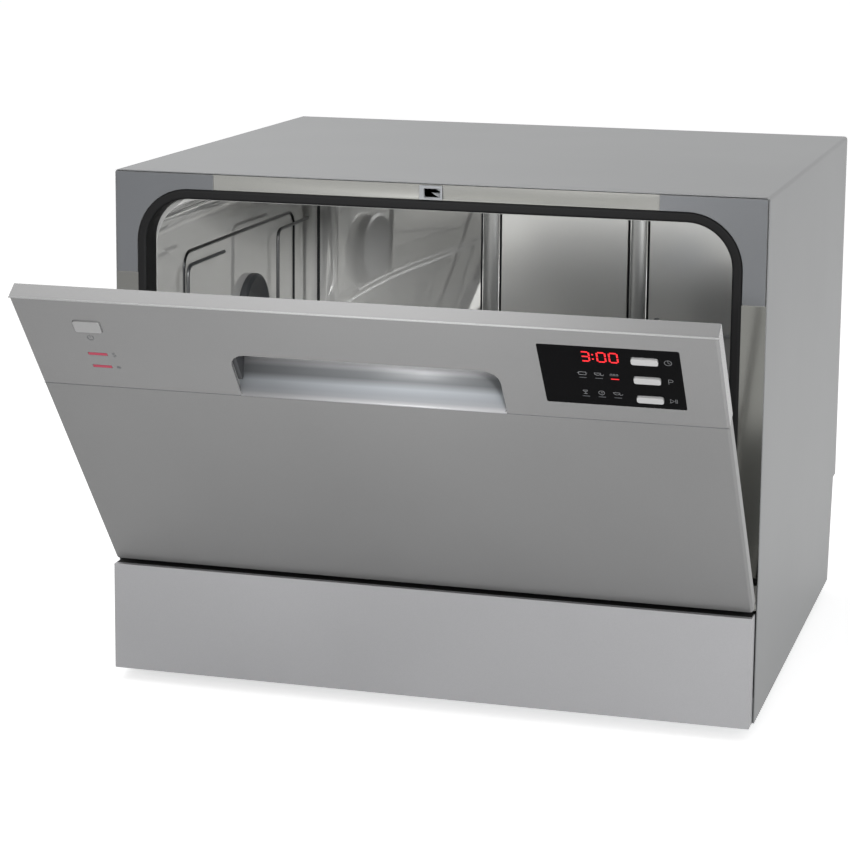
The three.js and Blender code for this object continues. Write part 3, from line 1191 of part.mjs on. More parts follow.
// Wall nets: two rims round the basket with uprights between, and four stubs for the wheels
function basketWalls() {
  const acrossX = [-BASKET_HALF_WIDTH - half - WELD, BASKET_HALF_WIDTH + half + WELD];
  const wires = [];
  for (const z of [BASKET_MID_RIM, BASKET_TOP_RIM]) {
    for (const y of [BASKET_FRONT, BASKET_REAR]) wires.push(wireX(acrossX, y, z - lap));
    for (const side of [-1, 1]) wires.push(wireY(side * BASKET_HALF_WIDTH, alongBasket, z));
  }
  const rise = [BASKET_FLOOR + half + FIT, BASKET_TOP_RIM];
  const inner = columns.filter((_, i) => i % 2 === 0).slice(1, -1);
  for (const y of [BASKET_FRONT, BASKET_REAR]) wires.push(...inner.map((x) => wireZ(x, y, rise, THIN_WIRE)));
  for (const y of rows)
    for (const side of [-1, 1]) wires.push(wireZ(side * BASKET_HALF_WIDTH, y, rise, THIN_WIRE));
  let walls = joined(wires);
  const inside = floorHalf + half + FIT;
  for (const side of [-1, 1])
    for (const y of rollerPlaces) {
      const x = [inside, inside + TAB_THICKNESS].map((reach) => side * reach).sort((a, b) => a - b);
      const tab = block(x, centred(y, 4 * ROLLER_AXLE), [AXLE_Z - 2 * ROLLER_AXLE, BASKET_MID_RIM]);
      const reach = ROLLER_X + ROLLER_WIDTH / 2 + STUB_END - inside;
      const stub = disc(ROLLER_AXLE, reach, 12).rotate([0, 90 * side, 0]);
      walls = walls.add(tab).add(stub.translate([side * inside, y, AXLE_Z]));
    }
  return walls;
}
place(basket, "basket_walls", basketWalls(), GREY_PLASTIC, 0.5, 0);

// Tine rows: a wire laid on the floor net's cross wires, with a line of upright tines
function tineRow(x) {
  const base = BASKET_FLOOR - lap + WIRE + FIT;
  const pitch = BASKET_LENGTH / TINES_PER_ROW;
  const wires = [wireY(x, [BASKET_FRONT + WIRE, BASKET_REAR - WIRE], base)];
  for (let i = 0; i < TINES_PER_ROW; i++)
    wires.push(wireZ(x, BASKET_FRONT + pitch * (i + 0.5), [base, BASKET_FLOOR + TINE_HEIGHT], THIN_WIRE));
  return joined(wires);
}
TINE_COLUMNS.forEach((column, i) =>
  place(basket, "tine_row_" + ["left", "middle"][i], tineRow(columns[column]), GREY_PLASTIC, 0.5, 0));

// Rollers: four wheels on the basket's stubs, running on the tub's ledges
function roller(side, y) {
  const bore = ROLLER_AXLE + FIT;
  const start = ROLLER_X - ROLLER_WIDTH / 2;
  const profile = [
    [bore, 0],
    [ROLLER_RADIUS, 0],
    [ROLLER_RADIUS, ROLLER_WIDTH],
    [bore, ROLLER_WIDTH],
  ];
  return turned(profile, 24).rotate([0, 90 * side, 0]).translate([side * start, y, AXLE_Z]);
}
for (const [sideName, side] of [["left", -1], ["right", 1]])
  rollerPlaces.forEach((y, i) =>
    place(basket, "roller_" + ["front", "rear"][i] + "_" + sideName, roller(side, y), PALE_PLASTIC, 0.5, 0));

// Cup shelf: two wires, each bent over to the rear, on a bar outside the basket's left rim
function shelfHook(y, foot) {
  const bend = [y + SHELF_BEND, SHELF_TOP - SHELF_BEND];
  const shape = new THREE.Shape();
  shape.moveTo(y - half, foot);
  shape.lineTo(y - half, bend[1]);
  shape.absarc(...bend, SHELF_BEND + half, Math.PI, Math.PI / 2, true);
  shape.lineTo(y + SHELF_REACH, SHELF_TOP + half);
  shape.lineTo(y + SHELF_REACH, SHELF_TOP - half);
  shape.lineTo(bend[0], SHELF_TOP - half);
  shape.absarc(...bend, SHELF_BEND - half, Math.PI / 2, Math.PI, false);
  shape.lineTo(y + half, foot);
  return shape;
}
function cupShelf() {
  const x = -BASKET_HALF_WIDTH - WIRE - FIT;
  const bar = BASKET_TOP_RIM + WIRE + FIT;
  const [front, rear] = SHELF_HOOKS;
  const hooks = SHELF_HOOKS.map((y) => alongX(shelfHook(y, bar - half), centred(x, WIRE), 4));
  return joined([wireY(x, [front - half, rear + SHELF_REACH], bar), ...hooks]);
}
place(basket, "cup_shelf", cupShelf(), 0x3c3e41, 0.5, 0);

// Cutlery basket: an open-topped moulded caddy with six cells and a carrying handle
function cutleryBasket() {
  const z = [BASKET_FLOOR + half + FIT, BASKET_FLOOR + half + FIT + CUTLERY_HEIGHT];
  let caddy = block([CUTLERY_LEFT, CUTLERY_RIGHT], [CUTLERY_FRONT, CUTLERY_REAR], z);
  const cells = [2, 3];
  const span = [CUTLERY_RIGHT - CUTLERY_LEFT, CUTLERY_REAR - CUTLERY_FRONT];
  const size = span.map((whole, i) => (whole - CUTLERY_WALL * (cells[i] + 1)) / cells[i]);
  for (let i = 0; i < cells[0]; i++)
    for (let j = 0; j < cells[1]; j++) {
      const x = CUTLERY_LEFT + CUTLERY_WALL + i * (size[0] + CUTLERY_WALL);
      const y = CUTLERY_FRONT + CUTLERY_WALL + j * (size[1] + CUTLERY_WALL);
      caddy = caddy.subtract(block([x, x + size[0]], [y, y + size[1]], [z[0] + CUTLERY_WALL, z[1] + 1]));
    }
  const middle = (CUTLERY_LEFT + CUTLERY_RIGHT) / 2;
  const thick = [middle - CUTLERY_WALL, middle + CUTLERY_WALL];
  const top = z[1] + CUTLERY_HANDLE_RISE;
  const posts = [CUTLERY_FRONT, CUTLERY_REAR - CUTLERY_GRIP].map((y) =>
    block(thick, [y, y + CUTLERY_GRIP], [z[1] - CUTLERY_GRIP, top]));
  const grip = block(thick, [CUTLERY_FRONT, CUTLERY_REAR], [top - CUTLERY_GRIP, top]);
  return joined([caddy, ...posts, grip]);
}
place(basket, "cutlery_basket", cutleryBasket(), GREY_PLASTIC, 0.5, 0);

// The origin lies on the worktop, under the middle of the whole machine with its door ajar
const openAngle = THREE.MathUtils.degToRad(DOOR_OPEN_ANGLE);
const doorReach = (HEIGHT - HINGE_Z) * Math.sin(openAngle) - (DOOR_FRONT - HINGE_Y) * Math.cos(openAngle);
const frontmost = HINGE_Y - doorReach;
dishwasher.position.y = -(DEPTH + frontmost) / 2;
dishwasher.updateMatrixWorld(true);

export default dishwasher;
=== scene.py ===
# Countertop dishwasher in satin silver, its drop-down door ajar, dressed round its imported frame.
# Lengths are in metres. Door pieces are laid out with the door shut and then turned to rest.
import json
import math

import bmesh
import bpy
from mathutils import Matrix, Vector


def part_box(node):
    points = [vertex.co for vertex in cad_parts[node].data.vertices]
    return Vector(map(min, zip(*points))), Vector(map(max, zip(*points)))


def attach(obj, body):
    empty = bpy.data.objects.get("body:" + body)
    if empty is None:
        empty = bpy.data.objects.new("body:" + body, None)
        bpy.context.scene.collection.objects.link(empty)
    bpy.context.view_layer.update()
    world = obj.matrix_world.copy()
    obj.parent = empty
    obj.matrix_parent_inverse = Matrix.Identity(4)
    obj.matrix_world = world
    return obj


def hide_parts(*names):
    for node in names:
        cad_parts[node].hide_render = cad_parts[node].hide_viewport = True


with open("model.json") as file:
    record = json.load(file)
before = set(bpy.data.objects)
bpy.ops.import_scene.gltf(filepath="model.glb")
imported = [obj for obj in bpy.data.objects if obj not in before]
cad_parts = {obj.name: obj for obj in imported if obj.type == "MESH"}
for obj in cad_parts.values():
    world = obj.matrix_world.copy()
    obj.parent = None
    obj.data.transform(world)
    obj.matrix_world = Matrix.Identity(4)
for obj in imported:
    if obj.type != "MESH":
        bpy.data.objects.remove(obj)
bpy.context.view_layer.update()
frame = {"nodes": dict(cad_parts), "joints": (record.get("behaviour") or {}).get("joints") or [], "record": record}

scene = bpy.context.scene
nodes = frame["nodes"]
MM = 0.001


# Camera: a long lens a little above the top and to the right, levelled as the photograph is.
# The cabinet frame has y = 0 on the front flange, which lies this far from the row's origin.
FLANGE_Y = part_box("front_frame")[0][1]
CAMERA_FROM_FLANGE = Vector((0.5751, -2.0254, 0.6973))
CAMERA_YAW = math.radians(15.964)
CAMERA_PITCH = math.radians(9.909)
CAMERA_ROLL = math.radians(0.518)
FOCAL_PIXELS = 2623.1
IMAGE_SIDE = 850
CENTRE_LIFT_PIXELS = 110

camera_data = bpy.data.cameras.new("camera")
camera_data.sensor_width = 36.0
camera_data.sensor_fit = "AUTO"
camera_data.lens = FOCAL_PIXELS * camera_data.sensor_width / IMAGE_SIDE
camera_data.shift_y = -CENTRE_LIFT_PIXELS / IMAGE_SIDE
camera_data.clip_end = 50.0
camera = bpy.data.objects.new("camera", camera_data)
scene.collection.objects.link(camera)
turn = Matrix.Rotation(CAMERA_YAW, 4, "Z") @ Matrix.Rotation(math.pi / 2 - CAMERA_PITCH, 4, "X")
place_camera = Matrix.Translation(CAMERA_FROM_FLANGE + Vector((0, FLANGE_Y, 0)))
camera.matrix_world = place_camera @ turn @ Matrix.Rotation(CAMERA_ROLL, 4, "Z")
scene.camera = camera


# Room: a white floor and sky, which the camera and the reflections see as white, a soft lamp to
# the front right and one above, and two narrow lamps that look over the door into the tub.
def linear(hex_colour):
    """An sRGB hex colour as linear red, green, blue and alpha."""
    parts = [int(hex_colour[i : i + 2], 16) / 255 for i in (1, 3, 5)]
    return tuple(c / 12.92 if c <= 0.04045 else ((c + 0.055) / 1.055) ** 2.4 for c in parts) + (1.0,)


def add_node(tree, kind, sockets=None, **settings):
    """A node with its settings, whose inputs are values or the outputs that feed them."""
    node = tree.nodes.new(kind)
    for key, value in settings.items():
        setattr(node, key, value)
    for key, value in (sockets or {}).items():
        if isinstance(value, bpy.types.NodeSocket):
            tree.links.new(value, node.inputs[key])
        else:
            node.inputs[key].default_value = value
    return node


def new_material(name):
    """An empty material, its node tree and its shader."""
    material = bpy.data.materials.new(name)
    material.use_nodes = True
    tree = material.node_tree
    tree.nodes.clear()
    shader = add_node(tree, "ShaderNodeBsdfPrincipled")
    add_node(tree, "ShaderNodeOutputMaterial", {"Surface": shader.outputs[0]})
    return material, tree, shader


WHITE = "#FFFFFF"
SKY_GREY = "#F2F2F2"
SKY_LEVEL = 0.45
MIRROR_BOUNCES = 12
FLOOR_SIZE = 30.0
FLOOR_GLOW = 0.6
POOL_HALF_WIDTH = 0.5
POOL_DARK, POOL_BRIGHT = 0.05, 0.55
world = bpy.data.worlds.new("studio")
scene.world = world
world.use_nodes = True
sky = world.node_tree
sky.nodes.clear()
path = add_node(sky, "ShaderNodeLightPath")
direct = add_node(sky, "ShaderNodeMath",
                  {0: path.outputs["Is Camera Ray"], 1: path.outputs["Is Glossy Ray"]}, operation="MAXIMUM")
seen = add_node(sky, "ShaderNodeMath", {0: direct.outputs[0], 1: path.outputs["Is Transmission Ray"]},
                operation="MAXIMUM")
dim = add_node(sky, "ShaderNodeBackground", {"Color": linear(SKY_GREY), "Strength": SKY_LEVEL})
bright = add_node(sky, "ShaderNodeBackground", {"Color": linear(WHITE), "Strength": 1.0})
mixed = add_node(sky, "ShaderNodeMixShader", {0: seen.outputs[0], 1: dim.outputs[0], 2: bright.outputs[0]})
add_node(sky, "ShaderNodeOutputWorld", {"Surface": mixed.outputs[0]})
# The tub's bright walls mirror one another many times.
scene.cycles.glossy_bounces = MIRROR_BOUNCES

floor_bm = bmesh.new()
bmesh.ops.create_grid(floor_bm, x_segments=1, y_segments=1, size=FLOOR_SIZE)
floor_mesh = bpy.data.meshes.new("floor")
floor_bm.to_mesh(floor_mesh)
floor_bm.free()
floor = bpy.data.objects.new("floor", floor_mesh)
scene.collection.objects.link(floor)
floor_material, tree, shader = new_material("white_floor")
shader.inputs["Base Color"].default_value = linear(WHITE)
shader.inputs["Roughness"].default_value = 0.9
shader.inputs["Specular IOR Level"].default_value = 0.1
shader.inputs["Emission Color"].default_value = linear(WHITE)
# The camera sees the floor white, and the product a pool of light that fades to the left.
floor_where = add_node(tree, "ShaderNodeTexCoord")
floor_across = add_node(tree, "ShaderNodeSeparateXYZ", {0: floor_where.outputs["Object"]})
floor_pool = add_node(tree, "ShaderNodeMapRange",
                      {"Value": floor_across.outputs["X"], "From Min": -POOL_HALF_WIDTH,
                       "From Max": POOL_HALF_WIDTH, "To Min": POOL_DARK, "To Max": POOL_BRIGHT})
floor_path = add_node(tree, "ShaderNodeLightPath")
floor_glow = add_node(tree, "ShaderNodeMapRange",
                      {"Value": floor_path.outputs["Is Camera Ray"],
                       "To Min": floor_pool.outputs[0], "To Max": FLOOR_GLOW})
tree.links.new(floor_glow.outputs[0], shader.inputs["Emission Strength"])
floor_mesh.materials.append(floor_material)


def hang_lamp(name, data, place, aim):
    """Puts a lamp at place, facing aim."""
    lamp = bpy.data.objects.new(name, data)
    scene.collection.objects.link(lamp)
    lamp.location = place
    lamp.rotation_euler = (Vector(aim) - Vector(place)).to_track_quat("-Z", "Y").to_euler()


def soft_lamp(name, place, aim, width, height, power):
    """A rectangular area lamp at place, facing aim."""
    data = bpy.data.lights.new(name, "AREA")
    data.shape = "RECTANGLE"
    data.size = width
    data.size_y = height
    data.energy = power
    hang_lamp(name, data, place, aim)


def tub_spot(name, place, aim, spread_degrees, power):
    """A spot lamp that looks over the open door into the tub."""
    data = bpy.data.lights.new(name, "SPOT")
    data.energy = power
    data.spot_size = math.radians(spread_degrees)
    data.spot_blend = 0.6
    data.shadow_soft_size = 0.15
    hang_lamp(name, data, place, aim)


soft_lamp("lamp_front", (0.8, -2.9, 1.4), (0, 0, 0.2), 2.6, 1.2, 31)
soft_lamp("lamp_above", (-0.8, 0.4, 1.9), (0, 0.1, 0.3), 1.6, 1.6, 10)
tub_spot("lamp_tub_left", (0.9, -1.8, 0.82), (-0.247, 0.06, 0.33), 13, 150)
tub_spot("lamp_tub_rear", (0.25, -2.6, 0.62), (0.1, 0.3, 0.37), 9, 90)
scene.view_settings.view_transform = "Standard"


# Ways of making pieces: a copy of a frame solid with rolled edges, or a new shape of bmesh
# operators. Every piece takes a material and rides on the body of the part that carries it.
SMOOTH_ANGLE = math.radians(32)
ROLLED_ANGLE = math.radians(40)
MERGE_DISTANCE = 0.02 * MM
door_hinge = next(joint for joint in frame["joints"] if joint["name"] == "door_hinge")
DOOR_PIVOT = Vector(door_hinge["pos_m"])
DOOR_ANGLE = math.radians(-door_hinge["range_deg"][0])
door_turn = (Matrix.Translation(DOOR_PIVOT) @ Matrix.Rotation(DOOR_ANGLE, 4, "X")
             @ Matrix.Translation(-DOOR_PIVOT) @ Matrix.Translation((0, FLANGE_Y, 0)))
bodies = frame["record"]["behaviour"]["bodies"]
body_of_node = {node: body for body, members in bodies.items() for node in members}


def smooth(mesh, angle=SMOOTH_ANGLE):
    """Shades a mesh smooth, but for edges sharper than the angle."""
    mesh.shade_smooth()
    mesh.set_sharp_from_angle(angle=angle)


def finish_piece(name, bm, material, body, place=None):
    """A bmesh as a finished object at the origin, riding on a body."""
    if place is not None:
        bmesh.ops.transform(bm, matrix=place, verts=bm.verts)
    mesh = bpy.data.meshes.new(name)
    bm.to_mesh(mesh)
    bm.free()
    smooth(mesh)
    mesh.materials.append(material)
    piece = bpy.data.objects.new(name, mesh)
    scene.collection.objects.link(piece)
    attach(piece, body)
    return piece


def rolled(node, material, edge, segments=3, flat=False):
    """A merged copy of a frame solid with its sharp edges rolled to a radius, in place of the solid."""
    bm = bmesh.new()
    bm.from_mesh(nodes[node].data)
    bmesh.ops.remove_doubles(bm, verts=bm.verts, dist=MERGE_DISTANCE)
    bmesh.ops.dissolve_limit(bm, angle_limit=math.radians(1), verts=bm.verts, edges=bm.edges)
    piece = finish_piece(node + "_skin", bm, material, body_of_node[node])
    bevel = piece.modifiers.new("rolled_edges", "BEVEL")
    bevel.width = edge
    bevel.segments = segments
    bevel.limit_method = "ANGLE"
    bevel.angle_limit = ROLLED_ANGLE
    bevel.harden_normals = not flat
    if flat:
        piece.data.shade_flat()
    bevel.miter_outer = "MITER_ARC"
    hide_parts(node)
    return piece


def dress(node, material):
    """Gives a frame solid whose shape is right its material."""
    mesh = nodes[node].data
    mesh.materials.clear()
    mesh.materials.append(material)


def block(bm, x, y, z):
    """Adds a box between two corners to a bmesh and returns its vertices."""
    size = Vector((x[1] - x[0], y[1] - y[0], z[1] - z[0]))
    middle = Vector((x[1] + x[0], y[1] + y[0], z[1] + z[0])) / 2
    matrix = Matrix.Translation(middle) @ Matrix.Diagonal((*size, 1))
    return bmesh.ops.create_cube(bm, size=1, matrix=matrix)["verts"]


def round_bar(bm, start, end, radius, sides=12):
    """Adds a closed cylinder between two points to a bmesh."""
    axis = Vector(end) - Vector(start)
    middle = Matrix.Translation((Vector(start) + Vector(end)) / 2)
    along = axis.to_track_quat("Z", "Y").to_matrix().to_4x4()
    bmesh.ops.create_cone(bm, cap_ends=True, segments=sides, radius1=radius, radius2=radius,
                          depth=axis.length, matrix=middle @ along)


# Outer wrap: one sheet of pre-painted steel folded over the top and both sides. The paint is a
# satin silver with fine metal flake, so it clouds a little and reflects softly.
def silver_paint(name, colour, roughness, metallic, flake_mm=0.5):
    """Satin silver coil paint: a grey metallic base with fine flake and faint long clouding."""
    material, tree, shader = new_material(name)
    where = add_node(tree, "ShaderNodeTexCoord")
    flake = add_node(tree, "ShaderNodeTexNoise",
                     {"Vector": where.outputs["Object"], "Scale": 1 / (flake_mm * MM), "Detail": 1.0})
    cloud = add_node(tree, "ShaderNodeTexNoise",
                     {"Vector": where.outputs["Object"], "Scale": 1 / (180 * MM), "Detail": 2.0})
    both = add_node(tree, "ShaderNodeMath", {0: flake.outputs[0], 1: cloud.outputs[0]}, operation="ADD")
    tint = add_node(tree, "ShaderNodeMapRange",
                    {"Value": both.outputs[0], "From Min": 0.6, "From Max": 1.4,
                     "To Min": 0.94, "To Max": 1.06})
    base = add_node(tree, "ShaderNodeVectorMath", {0: linear(colour)[:3]}, operation="SCALE")
    tree.links.new(tint.outputs[0], base.inputs["Scale"])
    tree.links.new(base.outputs[0], shader.inputs["Base Color"])
    rough = add_node(tree, "ShaderNodeMapRange",
                     {"Value": cloud.outputs[0], "To Min": roughness - 0.04, "To Max": roughness + 0.04})
    tree.links.new(rough.outputs[0], shader.inputs["Roughness"])
    shader.inputs["Metallic"].default_value = metallic
    bump = add_node(tree, "ShaderNodeBump",
                    {"Height": flake.outputs[0], "Strength": 0.02, "Distance": 0.1 * MM})
    tree.links.new(bump.outputs[0], shader.inputs["Normal"])
    return material


CASING_SILVER = "#7F8081"
casing_paint = silver_paint("coil_painted_steel", CASING_SILVER, 0.4, 0.5)
rolled("outer_wrap", casing_paint, 0.5 * MM, 2)


# Front flange: painted steel round the opening. Beside the seal it is a warm satin grey, and
# two blue-grey plates cover its upper corners.
FLANGE_GREY = "#A3A39F"
PLATE_BLUE_GREY = "#67696C"
flange_paint = silver_paint("flange_paint", FLANGE_GREY, 0.22, 0.7)
plate_paint = silver_paint("corner_plate_enamel", PLATE_BLUE_GREY, 0.38, 0.35)
rolled("front_frame", flange_paint, 0.4 * MM, 2)
for side in ("left", "right"):
    rolled("corner_plate_" + side, plate_paint, 0.3 * MM, 2)


# Door seal: black extruded rubber pushed into the channel round the opening, with a separate
# strip along the sill. The rubber has a dull moulded skin with a fine grain.
def black_rubber(name, colour="#0B0B0C", roughness=0.7, grain_mm=0.7):
    """Extruded or moulded rubber: near black, dull, with a faint grain."""
    material, tree, shader = new_material(name)
    where = add_node(tree, "ShaderNodeTexCoord")
    grain = add_node(tree, "ShaderNodeTexNoise",
                     {"Vector": where.outputs["Object"], "Scale": 1 / (grain_mm * MM), "Detail": 3.0})
    ramp = add_node(tree, "ShaderNodeMapRange",
                    {"Value": grain.outputs[0], "To Min": 0.8, "To Max": 1.2})
    base = add_node(tree, "ShaderNodeVectorMath", {0: linear(colour)[:3]}, operation="SCALE")
    tree.links.new(ramp.outputs[0], base.inputs["Scale"])
    tree.links.new(base.outputs[0], shader.inputs["Base Color"])
    shader.inputs["Specular IOR Level"].default_value = 0.25
    rough = add_node(tree, "ShaderNodeMapRange",
                     {"Value": grain.outputs[0], "To Min": roughness - 0.08, "To Max": roughness + 0.08})
    tree.links.new(rough.outputs[0], shader.inputs["Roughness"])
    bump = add_node(tree, "ShaderNodeBump",
                    {"Height": grain.outputs[0], "Strength": 0.15, "Distance": 0.2 * MM})
    tree.links.new(bump.outputs[0], shader.inputs["Normal"])
    return material


seal_rubber = black_rubber("seal_rubber")
rolled("door_gasket", seal_rubber, 2.2 * MM, 4)
rolled("sill_seal", seal_rubber, 1.2 * MM, 3)


# Wash tub: deep-drawn bright stainless steel, which mirrors the basket and itself. A shallow bead
# is pressed round each side wall, and ribs stiffen the back.
def bright_stainless(name, colour, roughness=0.13, metallic=1.0, line_mm=0.4, stretch=(1, 40, 1)):
    """Bright-rolled stainless sheet: a mirror softened by rolling lines along one axis."""
    material, tree, shader = new_material(name)
    where = add_node(tree, "ShaderNodeTexCoord")
    scale = tuple(1 / (line_mm * MM * s) for s in stretch)
    spread = add_node(tree, "ShaderNodeMapping", {"Vector": where.outputs["Object"], "Scale": scale})
    lines = add_node(tree, "ShaderNodeTexNoise", {"Vector": spread.outputs[0], "Scale": 1.0, "Detail": 1.0})
    waves = add_node(tree, "ShaderNodeTexNoise",
                     {"Vector": where.outputs["Object"], "Scale": 1 / (90 * MM), "Detail": 1.0})
    tint = add_node(tree, "ShaderNodeMapRange",
                    {"Value": waves.outputs[0], "To Min": 0.95, "To Max": 1.05})
    base = add_node(tree, "ShaderNodeVectorMath", {0: linear(colour)[:3]}, operation="SCALE")
    tree.links.new(tint.outputs[0], base.inputs["Scale"])
    tree.links.new(base.outputs[0], shader.inputs["Base Color"])
    rough = add_node(tree, "ShaderNodeMapRange",
                     {"Value": lines.outputs[0], "To Min": roughness - 0.03, "To Max": roughness + 0.03})
    tree.links.new(rough.outputs[0], shader.inputs["Roughness"])
    shader.inputs["Metallic"].default_value = metallic
    bump = add_node(tree, "ShaderNodeBump",
                    {"Height": waves.outputs[0], "Strength": 0.05, "Distance": 2 * MM})
    tree.links.new(bump.outputs[0], shader.inputs["Normal"])
    return material


tub_steel = bright_stainless("tub_stainless", "#F0F0EE", 0.03, 0.62)
# The beads, the rib edges and the corner seam are drawn in a dark copy of the stainless: painted shade along the
# pressed lines.
shade_line_steel = bright_stainless("stainless_painted_shade", "#2E2F30", 0.3)
rolled("tub", tub_steel, 0.4 * MM, 2)

TUB_LEFT, TUB_RIGHT = -0.247, 0.247
BEAD_RADIUS = 1.6 * MM
BEAD_FRONT, BEAD_REAR = FLANGE_Y + 0.084, FLANGE_Y + 0.378
BEAD_LOW, BEAD_HIGH = 0.175, 0.356
BEAD_CORNER = 0.014


def bead_loop(bm, x):
    """Adds a rounded rectangular bead, half sunk in the wall at x."""
    steps = 8
    path = []
    corners = [(BEAD_REAR, BEAD_HIGH, 0), (BEAD_FRONT, BEAD_HIGH, 90), (BEAD_FRONT, BEAD_LOW, 180),
               (BEAD_REAR, BEAD_LOW, 270)]
    middle = Vector(((BEAD_FRONT + BEAD_REAR) / 2, (BEAD_LOW + BEAD_HIGH) / 2))
    for y, z, first in corners:
        centre_y = y - math.copysign(BEAD_CORNER, y - middle.x)
        centre_z = z - math.copysign(BEAD_CORNER, z - middle.y)
        for i in range(steps + 1):
            angle = math.radians(first + 90 * i / steps)
            bend = BEAD_CORNER * Vector((math.cos(angle), math.sin(angle)))
            path.append(Vector((x, centre_y + bend.x, centre_z + bend.y)))
    rings = []
    for i, point in enumerate(path):
        along = (path[(i + 1) % len(path)] - path[i - 1]).normalized()
        turn = Matrix.Translation(point) @ along.to_track_quat("Z", "Y").to_matrix().to_4x4()
        ring = bmesh.ops.create_circle(bm, segments=8, radius=BEAD_RADIUS, matrix=turn)["verts"]
        rings.append(ring)
    for i, ring in enumerate(rings):
        after = rings[(i + 1) % len(rings)]
        edges = [e for e in bm.edges if all(v in ring for v in e.verts) or all(v in after for v in e.verts)]
        bmesh.ops.bridge_loops(bm, edges=edges)
    bmesh.ops.recalc_face_normals(bm, faces=bm.faces)


# Bare strips of the tub's flange run down both sides below the corner plates. Their steel is darkened, a painted
# reflection of the shaded door.
strip_reflection_steel = bright_stainless("flange_strip_painted_reflection", "#8A8A87", 0.1)
STRIP_INNER, STRIP_OUTER = 0.2545, 0.2743
STRIP_LOW, STRIP_HIGH = 0.125, 0.3515
STRIP_DEPTH = (FLANGE_Y - 0.25 * MM, FLANGE_Y + 0.1 * MM)
strips = bmesh.new()
for side in (-1, 1):
    ends = sorted((side * STRIP_INNER, side * STRIP_OUTER))
    block(strips, ends, STRIP_DEPTH, (STRIP_LOW, STRIP_HIGH))
finish_piece("flange_strips", strips, strip_reflection_steel, "cabinet")

# Two upright ribs stiffen the tub's rear wall. Each is a swelled face between two darker edges: the edges are
# painted shade in the dark steel, and the face is a darker copy of the stainless as painted shade.
REAR_FOOT_Z = 0.14
RIB_EDGES = (-0.0721, -0.0529, 0.0749, 0.0941)
RIB_EDGE_RADIUS = 1.3 * MM
RIB_EDGE_Y = FLANGE_Y + 0.4395
RIB_TOP_Z = 0.408
rib_edges = bmesh.new()
for x in RIB_EDGES:
    round_bar(rib_edges, (x, RIB_EDGE_Y, REAR_FOOT_Z), (x, RIB_EDGE_Y, RIB_TOP_Z), RIB_EDGE_RADIUS, 8)
finish_piece("tub_rib_edges", rib_edges, shade_line_steel, "cabinet")
rib_shaded_steel = bright_stainless("rib_stainless_painted_shade", "#B4B5B4", 0.25, 0.8)
RIB_FACE_Y = FLANGE_Y + 0.4378
RIB_FACE_HEIGHT = 0.26
RIB_SWELL = 2.2 * MM
rib_faces = bmesh.new()
for left, right in (RIB_EDGES[:2], RIB_EDGES[2:]):
    place = Matrix.Translation(((left + right) / 2, RIB_FACE_Y, REAR_FOOT_Z + RIB_FACE_HEIGHT / 2))
    shape = Matrix.Diagonal(((right - left) / 2 - RIB_EDGE_RADIUS, RIB_SWELL, 1, 1))
    bmesh.ops.create_cone(rib_faces, cap_ends=True, segments=32, radius1=1, radius2=1,
                          depth=RIB_FACE_HEIGHT, matrix=place @ shape)
finish_piece("tub_rib_faces", rib_faces, rib_shaded_steel, "cabinet")

# The bays beside the ribs are matt from the press, and the rear left corner is seam-welded.
bay_steel = bright_stainless("bay_stainless", "#F0F0EE", 0.17, 0.6)
BAY_DEPTH = (FLANGE_Y + 0.4367, FLANGE_Y + 0.4384)
BAY_TOP_Z = 0.41
BAY_RIGHT = 0.222
bays = bmesh.new()
for left, right in ((RIB_EDGES[1], RIB_EDGES[2]), (RIB_EDGES[3], BAY_RIGHT)):
    block(bays, (left + RIB_EDGE_RADIUS, right - RIB_EDGE_RADIUS), BAY_DEPTH, (REAR_FOOT_Z, BAY_TOP_Z))
finish_piece("tub_bays", bays, bay_steel, "cabinet")
SEAM_X = -0.2388
SEAM_Y = FLANGE_Y + 0.4318
SEAM_TOP_Z = 0.405
# The corner seam is drawn as a dark line of the painted-shade steel.
seam = bmesh.new()
round_bar(seam, (SEAM_X, SEAM_Y, REAR_FOOT_Z), (SEAM_X, SEAM_Y, SEAM_TOP_Z), BEAD_RADIUS, 8)
finish_piece("tub_corner_seam", seam, shade_line_steel, "cabinet")
for side, x in (("left", TUB_LEFT), ("right", TUB_RIGHT)):
    bm = bmesh.new()
    bead_loop(bm, x)
    finish_piece("tub_bead_" + side, bm, shade_line_steel, "cabinet")


# Door panel and kick plate: folded steel in the same satin silver, a shade darker than the
# wrap. The door's side edges are broken by a small chamfer.
DOOR_SILVER = "#858585"
# The kick plate's copy of the silver is painted lighter than the door's, as painted light where it faces the
# lamps.
KICK_LIT_SILVER = "#AAAAAC"
door_paint = silver_paint("door_paint", DOOR_SILVER, 0.4, 0.45)
kick_lit_paint = silver_paint("kick_plate_painted_light", KICK_LIT_SILVER, 0.42, 0.4)
rolled("door_panel", door_paint, 0.7 * MM, 3)
rolled("kick_plate", kick_lit_paint, 0.7 * MM, 3)
kick_low, kick_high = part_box("kick_plate")
# A thin black rubber strip on the kick plate's top face is painted shade for the dark gap under the door.
KICK_SHADE_SET_BACK = 5 * MM
KICK_SHADE_END = 1 * MM
KICK_SHADE_HEIGHT = 0.3 * MM
kick_shade_strip = bmesh.new()
block(kick_shade_strip, (kick_low[0] + KICK_SHADE_END, kick_high[0] - KICK_SHADE_END),
      (kick_low[1] + KICK_SHADE_SET_BACK, kick_high[1]), (kick_high[2], kick_high[2] + KICK_SHADE_HEIGHT))
finish_piece("kick_plate_shade_strip", kick_shade_strip, seal_rubber, "cabinet")


